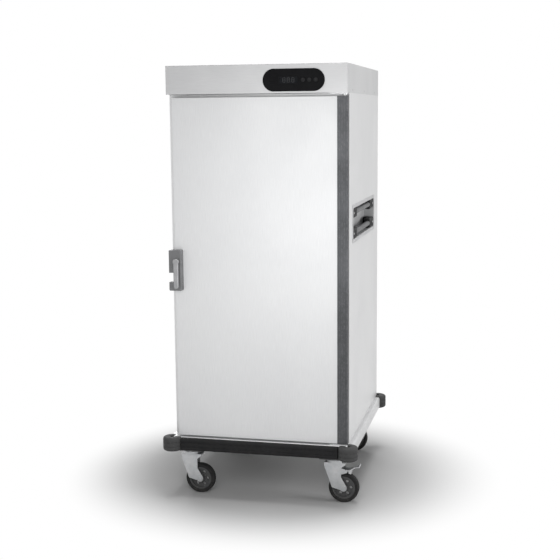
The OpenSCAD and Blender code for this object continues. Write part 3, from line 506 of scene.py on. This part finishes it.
print("every node has its finish:", sum(map(len, finishOfNode.values())), "of", len(nodes))


# steps that every new piece goes through

nearby = 0.00006     # two places this close count as one, in metres
seamGap = 0.00001    # a node's corners this close are one
welded = 0.000004    # a new piece's corners this close become one
flatWithin = 0.6     # degrees between faces that belong to one flat face
quarterTurn = Matrix.Rotation(math.pi / 2, 3, "X")

slotOfNode = {row["node"]: row["material_slot"] for row in frame["record"]["subparts"]}
bodyOfNode = {n: body for body, members in frame["record"]["behaviour"]["bodies"].items() for n in members}
finishFor = {member: finish for finish, members in finishOfNode.items() for member in members}


def takeNode(node):
    # the node's own shape, seams closed and flat faces whole again
    bm = bmesh.new()
    bm.from_mesh(nodes[node].data)
    bmesh.ops.remove_doubles(bm, verts=bm.verts, dist=seamGap)
    bmesh.ops.dissolve_limit(bm, angle_limit=math.radians(flatWithin), verts=bm.verts, edges=bm.edges)
    return bm


def bevelEdges(bm, edges, width, steps):
    bmesh.ops.bevel(bm, geom=edges, offset=width, offset_type="OFFSET", segments=steps, profile=0.5,
                    affect="EDGES", clamp_overlap=True, material=-1)


def roundEdges(bm, width, steps, pick=None, above=40):
    # sharp outer edges get the radius of a fold or a moulding
    sharp = [e for e in bm.edges if e.is_manifold and e.is_convex
             and e.calc_face_angle() > math.radians(above) and (pick is None or pick(e))]
    if sharp:
        bevelEdges(bm, sharp, width, steps)


def liesAt(edge, axis, place):
    return all(abs(v.co[axis] - place) < nearby for v in edge.verts)


def alongBox(low, high, without=()):
    # edges where two outer faces of the box meet; without holds (axis, side) of the open faces
    sides = (("low", low), ("high", high))
    faces = [(axis, side, corner[axis]) for axis in range(3) for side, corner in sides]

    def pick(edge):
        touching = [(axis, side) for axis, side, place in faces if liesAt(edge, axis, place)]
        return len(touching) > 1 and not any(face in without for face in touching)
    return pick


def makePiece(name, bm, finish, body, slot, replaced=(), sharpAbove=34):
    mesh = bpy.data.meshes.new(name)
    bm.to_mesh(mesh)
    bm.free()
    mesh.shade_smooth()
    mesh.set_sharp_from_angle(angle=math.radians(sharpAbove))
    mesh.materials.append(finishes[finish])
    piece = bpy.data.objects.new(name, mesh)
    bpy.context.scene.collection.objects.link(piece)
    evenNormals = piece.modifiers.new("evenNormals", "WEIGHTED_NORMAL")
    evenNormals.keep_sharp = True
    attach(piece, body)
    if replaced:
        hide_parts(*replaced)
    return piece


def standFor(name, bm, node, **more):
    return makePiece(name, bm, finishFor[node], bodyOfNode[node], slotOfNode[node], (node,), **more)


def addBlock(bm, low, high, radius, steps, keepSquare=None):
    # a block between two corners, its edges rounded
    part = bmesh.new()
    size = Vector(high) - Vector(low)
    bmesh.ops.create_cube(part, size=1)
    bmesh.ops.scale(part, vec=size, verts=part.verts)
    bmesh.ops.translate(part, vec=(Vector(low) + Vector(high)) / 2, verts=part.verts)
    bevelEdges(part, [e for e in part.edges if keepSquare is None or not keepSquare(e)], radius, steps)
    joinTo(bm, part)


def joinTo(bm, part):
    mesh = bpy.data.meshes.new("passing")
    part.to_mesh(mesh)
    part.free()
    bm.from_mesh(mesh)
    bpy.data.meshes.remove(mesh)


def addSpin(bm, outline, centre, axis, steps, closed=True):
    # outline holds (radius, place along the axis); the shape is turned about the axis
    part = bmesh.new()
    along = Vector(axis)
    side = Vector((0, 0, 1)) if abs(along.z) < 0.5 else Vector((1, 0, 0))
    ring = [part.verts.new(Vector(centre) + side * r + along * t) for r, t in outline]
    pairs = list(zip(ring, ring[1:] + ring[:1])) if closed else list(zip(ring, ring[1:]))
    edges = [part.edges.new(pair) for pair in pairs]
    bmesh.ops.spin(part, geom=ring + edges, cent=centre, axis=axis, angle=math.tau, steps=steps,
                   use_merge=True)
    bmesh.ops.remove_doubles(part, verts=part.verts, dist=welded)
    bmesh.ops.recalc_face_normals(part, faces=part.faces)
    joinTo(bm, part)


def addStadium(bm, centre, width, height, front, back):
    # a long rounded plate that faces the front
    part = bmesh.new()
    sides = 64
    bmesh.ops.create_circle(part, cap_ends=True, segments=sides, radius=height / 2)
    turn = Matrix.Rotation(math.pi / sides, 3, "Z")
    bmesh.ops.rotate(part, cent=(0, 0, 0), matrix=turn, verts=part.verts)
    for sign in (-1, 1):
        half = [v for v in part.verts if v.co.x * sign > 0]
        bmesh.ops.translate(part, vec=(sign * (width - height) / 2, 0, 0), verts=half)
    bmesh.ops.rotate(part, cent=(0, 0, 0), matrix=quarterTurn, verts=part.verts)
    bmesh.ops.translate(part, vec=(centre[0], back, centre[1]), verts=part.verts)
    grown = bmesh.ops.extrude_face_region(part, geom=part.faces[:])
    moved = [g for g in grown["geom"] if isinstance(g, bmesh.types.BMVert)]
    bmesh.ops.translate(part, vec=(0, front - back, 0), verts=moved)
    bmesh.ops.recalc_face_normals(part, faces=part.faces)
    joinTo(bm, part)


def addFrame(bm, centre, width, height, outline):
    # a mitred ring in the plane of the door; outline holds (outwards, y) points of its section
    part = bmesh.new()
    section = [part.verts.new((-width / 2 - out, y, -height / 2 - out)) for out, y in outline]
    edges = [part.edges.new(pair) for pair in zip(section, section[1:] + section[:1])]
    for mirrored in ((-1, 1, 1), (1, 1, -1), (-1, 1, 1), (1, 1, -1)):
        grown = bmesh.ops.extrude_edge_only(part, edges=edges)["geom"]
        edges = [g for g in grown if isinstance(g, bmesh.types.BMEdge) and g.is_boundary]
        bmesh.ops.scale(part, vec=mirrored, verts=[g for g in grown if isinstance(g, bmesh.types.BMVert)])
    bmesh.ops.remove_doubles(part, verts=part.verts, dist=welded)
    bmesh.ops.recalc_face_normals(part, faces=part.faces)
    bmesh.ops.translate(part, vec=(centre[0], 0, centre[1]), verts=part.verts)
    joinTo(bm, part)


# sheet metal and mouldings whose shape is right get their radii

foldedSheets = {
    # node: radius in metres, steps, open faces of the box that keep their sheared edge
    "door_shell": (0.0022, 4, ((1, "high"),)),
    "front_sill": (0.0016, 3, ((2, "low"),)),
    "seal_frame": (0.0011, 3, ((1, "high"),)),
    "back_panel": (0.0010, 2, ((1, "low"),)),
    "base_frame": (0.0022, 3, ((2, "low"),)),
    "controller_box": (0.0020, 3, ()),
}

for node, (radius, steps, openFaces) in foldedSheets.items():
    shape = takeNode(node)
    roundEdges(shape, radius, steps, alongBox(*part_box(node), without=openFaces))
    standFor("folded_" + node, shape, node)
print("folded sheets:", len(foldedSheets))

smallRadii = {
    # node: radius in metres, steps
    "handle_pans": (0.0006, 2), "tray_runners": (0.0004, 2), "rack_posts": (0.0004, 2),
    "air_duct": (0.0003, 1), "water_pan": (0.0004, 2), "hinge_brackets": (0.0009, 2),
    "latch_keeper": (0.0008, 2), "hinge_bushes": (0.0009, 2), "caster_plates": (0.0010, 2),
    "side_rails": (0.0005, 1), "bumper_rails": (0.0005, 1), "fan_motor": (0.0014, 3),
    "fan_impeller": (0.0002, 1), "heater_element": (0.0008, 2), "cabinet_screws": (0.0002, 1),
    "door_inner": (0.0003, 2), "cap_deck": (0.0004, 1), "power_rocker": (0.0012, 3),
    "inner_liner": (0.0003, 1), "outer_wrap": (0.0003, 1),
    "fork_fl": (0.0012, 3), "fork_fr": (0.0012, 3), "fork_rl": (0.0012, 3), "fork_rr": (0.0012, 3),
    "wheel_fl": (0.0009, 2), "wheel_fr": (0.0009, 2), "wheel_rl": (0.0009, 2), "wheel_rr": (0.0009, 2),
    "pedal_fr": (0.0008, 2), "pedal_rr": (0.0008, 2),
}

for node, (radius, steps) in smallRadii.items():
    shape = takeNode(node)
    roundEdges(shape, radius, steps)
    standFor("smooth_" + node, shape, node)
print("small radii:", len(smallRadii))


# the cap: a folded fascia and a lid with rolled edges

capMake = {"cornerRadius": 0.0035, "rimRadius": 0.0007}

openCap = ((2, "low"), (2, "high"), (1, "high"))
fascia = takeNode("cap_fascia")
roundEdges(fascia, capMake["cornerRadius"], 5, alongBox(*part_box("cap_fascia"), without=openCap))
standFor("capFascia", fascia, "cap_fascia")

lid = takeNode("cap_lid")
lidLow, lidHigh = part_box("cap_lid")
roundEdges(lid, capMake["cornerRadius"], 5, alongBox(lidLow, lidHigh, without=openCap))
roundEdges(lid, capMake["rimRadius"], 3, lambda edge: liesAt(edge, 2, lidHigh.z))
standFor("capLid", lid, "cap_lid")
print("cap folded")


# door edge profile: a ribbed extrusion with a rolled outer corner

profileMake = {"cornerRadius": 0.0012, "ribRadius": 0.00028, "frontFrom": -0.4139, "ribOver": 1.0}

edgeProfile = takeNode("door_profile")
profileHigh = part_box("door_profile")[1]


def inFront(edge):
    return all(v.co.y < profileMake["frontFrom"] for v in edge.verts)


def isRib(edge):
    return inFront(edge) and abs(edge.verts[0].co.z - edge.verts[1].co.z) > profileMake["ribOver"]


roundEdges(edgeProfile, profileMake["cornerRadius"], 4, lambda e: liesAt(e, 0, profileHigh.x) and inFront(e))
roundEdges(edgeProfile, profileMake["ribRadius"], 2, isRib, above=60)
standFor("doorEdgeProfile", edgeProfile, "door_profile")
print("door edge profile rolled")


# magnetic gasket with two bellows folds

gasketMake = {"left": -0.329, "right": 0.331, "low": 0.2725, "high": 1.6135, "foot": -0.3792, "tip": -0.3740,
              "halfFoot": 0.009, "halfTip": 0.0054, "bulge": 0.0060, "waist": 0.0050}


def makeGasket():
    m = gasketMake
    span = m["tip"] - m["foot"]
    rising = [(m["halfFoot"], m["foot"]), (m["halfFoot"], m["foot"] + 0.0018), (0.0062, m["foot"] + 0.0024),
              (m["waist"], m["foot"] + 0.45 * span), (m["bulge"], m["foot"] + 0.62 * span),
              (m["bulge"], m["tip"] - 0.0004), (m["halfTip"], m["tip"])]
    outline = [(-out, y) for out, y in rising] + rising[::-1]
    bm = bmesh.new()
    addFrame(bm, ((m["left"] + m["right"]) / 2, (m["low"] + m["high"]) / 2),
             m["right"] - m["left"], m["high"] - m["low"], outline)
    standFor("doorGasket", bm, "door_gasket")


makeGasket()
print("gasket swept")


# control panel: bezel, recessed face, lens, keys and rocker collar

panelMake = {
    "middle": (0.154, 1.703), "size": (0.2445, 0.0868), "bossSize": (0.2245, 0.0668),
    "front": -0.424, "wall": -0.420, "back": -0.404, "rim": 0.005, "recess": 0.0010, "rimRadius": 0.0009,
    "keys": (0.192, 0.217, 0.242), "keyHole": 0.0081, "collar": 0.0104,
    "lens": (0.098, 0.170), "lensHalf": 0.013, "rocker": 0.068, "rockerHole": (0.010, 0.014),
}


def makePanel():
    m = panelMake
    x, z = m["middle"]
    bm = bmesh.new()
    face = m["front"] + m["recess"]
    # a rounded rim stands up round the recessed face
    part = bmesh.new()
    addStadium(part, (x, z), *m["size"], m["front"], m["wall"])
    part.normal_update()
    front = [f for f in part.faces if f.normal.y < -0.9]
    ring = bmesh.ops.inset_region(part, faces=front, thickness=m["rim"], use_even_offset=True)
    inner = [f for f in part.faces if f.normal.y < -0.9 and f not in ring["faces"]]
    bmesh.ops.translate(part, vec=(0, m["recess"], 0), verts=list({v for f in inner for v in f.verts}))
    roundEdges(part, m["rimRadius"], 3, above=30)
    joinTo(bm, part)
    addStadium(bm, (x, z), *m["bossSize"], m["wall"] - 0.0002, m["back"])
    # raised collars round the keys, frames round the lens and the rocker
    hole = m["keyHole"]
    for key in m["keys"]:
        addSpin(bm, [(hole + 0.0002, 0.0002), (hole + 0.0002, -0.0005), (hole + 0.0007, -0.0008),
                     (m["collar"] - 0.0006, -0.0008), (m["collar"], 0.0002)], (key, face, z), (0, 1, 0), 40)
    section = [(0.0004, face + 0.0002), (0.0004, face - 0.0004), (0.0009, face - 0.0007),
               (0.0020, face - 0.0007), (0.0027, face + 0.0002)]
    addFrame(bm, (sum(m["lens"]) / 2, z), m["lens"][1] - m["lens"][0], 2 * m["lensHalf"], section)
    addFrame(bm, (m["rocker"], z), 2 * m["rockerHole"][0], 2 * m["rockerHole"][1], section)
    standFor("controlBezel", bm, "control_panel")


displayMake = {
    "lensFace": 0.0007, "lensBack": 0.003, "radius": 0.0005, "barFace": 0.00062, "barDepth": 0.0003,
    "digitPitch": 0.0175, "barWidth": 0.0012, "flatBar": 0.0080, "levels": 0.0082, "sideBar": 0.0050,
    "sideHalf": 0.0034,
}


def makeLens():
    m, d = panelMake, displayMake
    x0, x1 = m["lens"]
    z = m["middle"][1]
    bm = bmesh.new()
    addBlock(bm, (x0, m["front"] + d["lensFace"], z - m["lensHalf"]),
             (x1, m["front"] + d["lensBack"], z + m["lensHalf"]), d["radius"], 3)
    standFor("displayLens", bm, "display_window")
    # the unlit bars of three digits, just proud of the lens
    digits = bmesh.new()
    front = m["front"] + d["barFace"]
    back = front + d["barDepth"]
    half = d["barWidth"] / 2
    for digit in (-1, 0, 1):
        middle = (x0 + x1) / 2 + digit * d["digitPitch"]
        for level in (-1, 0, 1):
            addStadium(digits, (middle, z + level * d["levels"]), d["flatBar"], d["barWidth"], front, back)
        for side in (-1, 1):
            for level in (-1, 1):
                x = middle + side * d["sideBar"]
                low = z + level * d["levels"] / 2
                addBlock(digits, (x - half, front, low - d["sideHalf"]),
                         (x + half, back, low + d["sideHalf"]), 0.0001, 2)
    makePiece("displayBars", digits, "unlitBars", "cabinet", "display_glass")


keyMake = {
    "radius": 0.0076, "front": -0.426, "back": -0.410, "flange": 0.0105, "flangeFrom": -0.414,
    "dish": 0.0013, "markFront": -0.4256, "markDepth": 0.0010, "dot": 0.0020, "arrow": (0.0030, 0.0026),
}


def makeKey(name, node, x, mark):
    k = keyMake
    z = panelMake["middle"][1]
    bm = bmesh.new()
    r, front, dish = k["radius"], k["front"], k["dish"]
    addSpin(bm, [(0.0, front + dish), (0.30 * r, front + 0.90 * dish), (0.58 * r, front + 0.60 * dish),
                 (0.80 * r, front + 0.22 * dish), (0.88 * r, front), (0.95 * r, front + 0.0002),
                 (r, front + 0.0009), (r, k["flangeFrom"]), (k["flange"], k["flangeFrom"]),
                 (k["flange"], k["back"]), (0.0, k["back"])], (x, 0, z), (0, 1, 0), 40, closed=False)
    top = k["markFront"]
    if mark == "dot":
        addSpin(bm, [(0.0, top), (k["dot"] - 0.0004, top), (k["dot"], top + 0.0003),
                     (k["dot"], top + k["markDepth"]), (0.0, top + k["markDepth"])],
                (x, 0, z), (0, 1, 0), 24, closed=False)
    else:
        arrow = bmesh.new()
        base, tip = k["arrow"]
        bmesh.ops.create_cone(arrow, cap_ends=True, segments=3, radius1=base, radius2=tip,
                              depth=k["markDepth"])
        bmesh.ops.rotate(arrow, cent=(0, 0, 0), matrix=quarterTurn, verts=arrow.verts)
        point = max(arrow.verts, key=lambda v: v.co.to_2d().length + v.co.z).co
        turn = (0 if mark == "up" else math.pi) - math.atan2(point.x, point.z)
        bmesh.ops.rotate(arrow, cent=(0, 0, 0), matrix=Matrix.Rotation(turn, 3, "Y"), verts=arrow.verts)
        bmesh.ops.translate(arrow, vec=(x, top + k["markDepth"] / 2, z), verts=arrow.verts)
        joinTo(bm, arrow)
    standFor(name, bm, node)


makePanel()
makeLens()
keys = (("setKey", "button_set", "dot"), ("upKey", "button_up", "up"), ("downKey", "button_down", "down"))
for (name, node, mark), x in zip(keys, panelMake["keys"]):
    makeKey(name, node, x, mark)
print("control panel built")


# latch: a die-cast housing and its turn grip

latchMake = {"cornerRadius": 0.0055, "castRadius": 0.0019, "gripRadius": 0.0030, "neckRadius": 0.0006,
             "housingFront": -0.440, "gripBack": -0.4499, "cornerOver": 0.004}

housing = takeNode("latch_housing")
castLow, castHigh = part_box("latch_housing")


def isOuterCorner(edge):
    atSide = liesAt(edge, 0, castLow.x) or liesAt(edge, 0, castHigh.x)
    atEnd = liesAt(edge, 2, castLow.z) or liesAt(edge, 2, castHigh.z)
    return atSide and atEnd and abs(edge.verts[0].co.y - edge.verts[1].co.y) > latchMake["cornerOver"]


def meetsFront(edge):
    return any(abs(v.co.y - latchMake["housingFront"]) < nearby for v in edge.verts)


roundEdges(housing, latchMake["cornerRadius"], 6, isOuterCorner)
roundEdges(housing, latchMake["castRadius"], 4, meetsFront)
standFor("latchHousing", housing, "latch_housing", sharpAbove=40)

grip = takeNode("latch_lever")
gripBack = latchMake["gripBack"]
roundEdges(grip, latchMake["gripRadius"], 5, lambda edge: all(v.co.y < gripBack for v in edge.verts))
roundEdges(grip, latchMake["neckRadius"], 2, lambda edge: all(v.co.y > gripBack + 0.001 for v in edge.verts))
standFor("latchGrip", grip, "latch_lever", sharpAbove=40)
print("latch cast")


# side handles: moulded end sockets with a screw and ribs, and steel bars

handleMake = {
    "face": 0.365, "floor": 0.3202, "under": 0.3390, "endIn": 0.1784, "foot": 0.2524, "endOut": 0.2884,
    "heights": (1.0945, 1.1775), "halfHeight": 0.021, "rounding": 0.0065,
    "bar": 0.0108, "barCentre": 0.354, "barHalf": 0.187, "screw": (0.0042, 0.262),
    "ribs": 4, "ribFrom": 0.026, "ribPitch": 0.009, "ribHalf": (0.0018, 0.012), "ribRise": (0.3600, 0.3656),
}


def addGripBlock(bm, side, end, across, along, z, halfHeight, *rounding, **more):
    x0, x1 = sorted(side * value for value in across)
    y0, y1 = sorted(end * value for value in along)
    addBlock(bm, (x0, y0, z - halfHeight), (x1, y1, z + halfHeight), *rounding, **more)


def isFootTop(edge):
    # the foot's top edges stay square, hidden in the socket
    level = abs(edge.verts[0].co.x - edge.verts[1].co.x) < nearby
    return level and any(abs(abs(v.co.x) - handleMake["floor"]) > nearby for v in edge.verts)


def makeHandles():
    h = handleMake
    sockets, bars, caps = bmesh.new(), bmesh.new(), bmesh.new()
    reach = h["barHalf"]
    ribThick, ribTall = h["ribHalf"]
    r, screwAt = h["screw"]
    for side in (-1, 1):
        for z in h["heights"]:
            addSpin(bars, [(0.0, -reach), (h["bar"], -reach), (h["bar"], -reach + 0.03),
                           (h["bar"], reach - 0.03), (h["bar"], reach), (0.0, reach)],
                    (side * h["barCentre"], 0, z), (0, 1, 0), 48, closed=False)
            for end in (-1, 1):
                size = (z, h["halfHeight"], h["rounding"], 5)
                addGripBlock(sockets, side, end, (h["under"], h["face"]), (h["endIn"], h["endOut"]), *size)
                # each socket stands on a foot at its outer end
                addGripBlock(sockets, side, end, (h["floor"], h["under"] + h["rounding"]),
                             (h["foot"], h["endOut"]), *size, keepSquare=isFootTop)
                for rib in range(h["ribs"]):
                    y = h["endIn"] + h["ribFrom"] + rib * h["ribPitch"]
                    addGripBlock(sockets, side, end, h["ribRise"], (y - ribThick, y + ribThick), z, ribTall,
                                 0.0015, 3)
                addSpin(caps, [(0.0, 0.0016), (0.0016, 0.0016), (0.0019, 0.0002), (r - 0.0010, 0.0014),
                               (r, 0.0006), (r, -0.0030), (0.0, -0.0030)],
                        (side * h["face"], end * screwAt, z), (side, 0, 0), 32, closed=False)
    standFor("gripSockets", sockets, "grip_sockets")
    standFor("gripBars", bars, "grip_bars")
    makePiece("socketScrews", caps, "screwSteel", "cabinet", "screw_zinc")


makeHandles()
print("handles fitted")


# corner bumpers: rubber rollers with grooves and a fixing plug on top

cornerMake = {"x": 0.368, "y": 0.422, "low": 0.199, "high": 0.257, "radius": 0.0399, "bore": 0.010,
              "plug": (0.0145, 0.0130, 0.0012), "shoulder": 0.010, "groove": 0.0016,
              "grooveHeights": (0.219, 0.237), "cabinet": (0.365, 0.420)}


def makeCornerBumpers():
    c = cornerMake
    bm = bmesh.new()
    r, s, low, high = c["radius"], c["shoulder"], c["low"], c["high"]
    plugRim, plugFoot, plugDeep = c["plug"]
    # the shoulder's quarter round, as (inwards, up) shares of its size
    quarterRound = ((1, 0), (0.6, 0.10), (0.24, 0.34), (0.06, 0.66), (0, 1))
    outline = [(c["bore"], low)] + [(r - inward * s, low + up * s) for inward, up in quarterRound]
    for z in c["grooveHeights"]:
        outline += [(r, z - 0.0022), (r - c["groove"], z - 0.0010),
                    (r - c["groove"], z + 0.0010), (r, z + 0.0022)]
    outline += [(r - inward * s, high - up * s) for inward, up in reversed(quarterRound)]
    outline += [(plugRim, high), (plugFoot, high - plugDeep), (c["bore"], high - plugDeep)]
    wallX, wallY = c["cabinet"]
    for sx in (-1, 1):
        for sy in (-1, 1):
            part = bmesh.new()
            addSpin(part, outline, (sx * c["x"], sy * c["y"], 0), (0, 0, 1), 72)
            # the part inside the cabinet's corner is cut away
            for place, away in (((sx * wallX, 0, 0), (sx, 0, 0)), ((0, sy * wallY, 0), (0, sy, 0))):
                geom = part.verts[:] + part.edges[:] + part.faces[:]
                bmesh.ops.bisect_plane(part, geom=geom, plane_co=place, plane_no=away)
            inside = [f for f in part.faces if f.calc_center_median().x * sx < wallX
                      and f.calc_center_median().y * sy < wallY]
            bmesh.ops.delete(part, geom=inside, context="FACES")
            bmesh.ops.holes_fill(part, edges=[e for e in part.edges if e.is_boundary])
            bmesh.ops.recalc_face_normals(part, faces=part.faces)
            joinTo(bm, part)
    standFor("cornerBumpers", bm, "corner_bumpers")


makeCornerBumpers()
print("bumpers moulded")


# tyres with a grooved tread and a stepped sidewall

tyreMake = {
    "radius": 0.0625, "half": 0.016, "inner": 0.0475, "lug": 0.0012, "grooves": (-0.0055, 0.0, 0.0055),
    "axle": 0.0625, "swivel": (0.305, 0.350), "trail": 0.035,
    "casters": {"fl": (-1, -1), "fr": (1, -1), "rl": (-1, 1), "rr": (1, 1)},
}


def makeTyre(corner, sx, sy):
    t = tyreMake
    r, w, inner = t["radius"], t["half"], t["inner"]
    outline = [(inner, -w + 0.0032), (inner + 0.0022, -w + 0.0006), (inner + 0.0048, -w),
               (inner + 0.0054, -w + 0.0007), (inner + 0.0066, -w + 0.0007), (inner + 0.0072, -w),
               (r - 0.0056, -w + 0.0001), (r - 0.0030, -w + 0.0012), (r - 0.0012, -w + 0.0034),
               (r - 0.0002, -w + 0.0062)]
    sidewall = outline[:]
    for groove in t["grooves"]:
        outline += [(r - 0.00005, groove - 0.0010), (r - t["lug"], groove - 0.0006),
                    (r - t["lug"], groove + 0.0006), (r - 0.00005, groove + 0.0010)]
    outline += [(radius, -along) for radius, along in reversed(sidewall)]
    bm = bmesh.new()
    centre = (sx * t["swivel"][0] - sy * t["trail"], sy * t["swivel"][1], t["axle"])
    addSpin(bm, outline, centre, (0, 1, 0), 96)
    standFor("tyreTread_" + corner, bm, "tyre_" + corner)


for corner, signs in tyreMake["casters"].items():
    makeTyre(corner, *signs)
print("tyres cut")


# pressed louvre hoods over the slots of the back panel

louvreMake = {
    "columns": 5, "rows": 6, "pitch": (0.090, 0.013), "middle": 1.709, "length": 0.074, "height": 0.0085,
    "depth": 0.0042, "back": 0.4199, "sunk": 0.0025, "sheet": 0.0006, "pull": 3.2,
}


def makeLouvre(x, z):
    v = louvreMake
    part = bmesh.new()
    bmesh.ops.create_uvsphere(part, u_segments=16, v_segments=10, radius=1)
    # a quarter of a ball, pulled long, is one pressed hood
    for away in ((0, -1, 0), (0, 0, -1)):
        geom = part.verts[:] + part.edges[:] + part.faces[:]
        bmesh.ops.bisect_plane(part, geom=geom, plane_co=(0, 0, 0), plane_no=away, clear_outer=True)
    for sign in (-1, 1):
        half = [p for p in part.verts if p.co.x * sign > 0.05]
        bmesh.ops.translate(part, vec=(sign * v["pull"], 0, 0), verts=half)
    bmesh.ops.remove_doubles(part, verts=part.verts, dist=0.02)
    size = (v["length"] / (2 * (v["pull"] + 1)), v["depth"], v["height"])
    bmesh.ops.scale(part, vec=size, verts=part.verts)
    bmesh.ops.recalc_face_normals(part, faces=part.faces)
    if part.faces[0].normal.dot(part.faces[0].calc_center_median()) < 0:
        bmesh.ops.reverse_faces(part, faces=part.faces)
    bmesh.ops.solidify(part, geom=part.faces[:], thickness=v["sheet"])
    bmesh.ops.translate(part, vec=(x, v["back"], z - v["sunk"]), verts=part.verts)
    return part


def makeLouvres():
    v = louvreMake
    bm = bmesh.new()
    for column in range(v["columns"]):
        for row in range(v["rows"]):
            x = (column - (v["columns"] - 1) / 2) * v["pitch"][0]
            z = v["middle"] + (row - (v["rows"] - 1) / 2) * v["pitch"][1]
            joinTo(bm, makeLouvre(x, z))
    makePiece("backLouvres", bm, "wrapSteel", "cabinet", "back_steel")


makeLouvres()
print("louvres pressed")
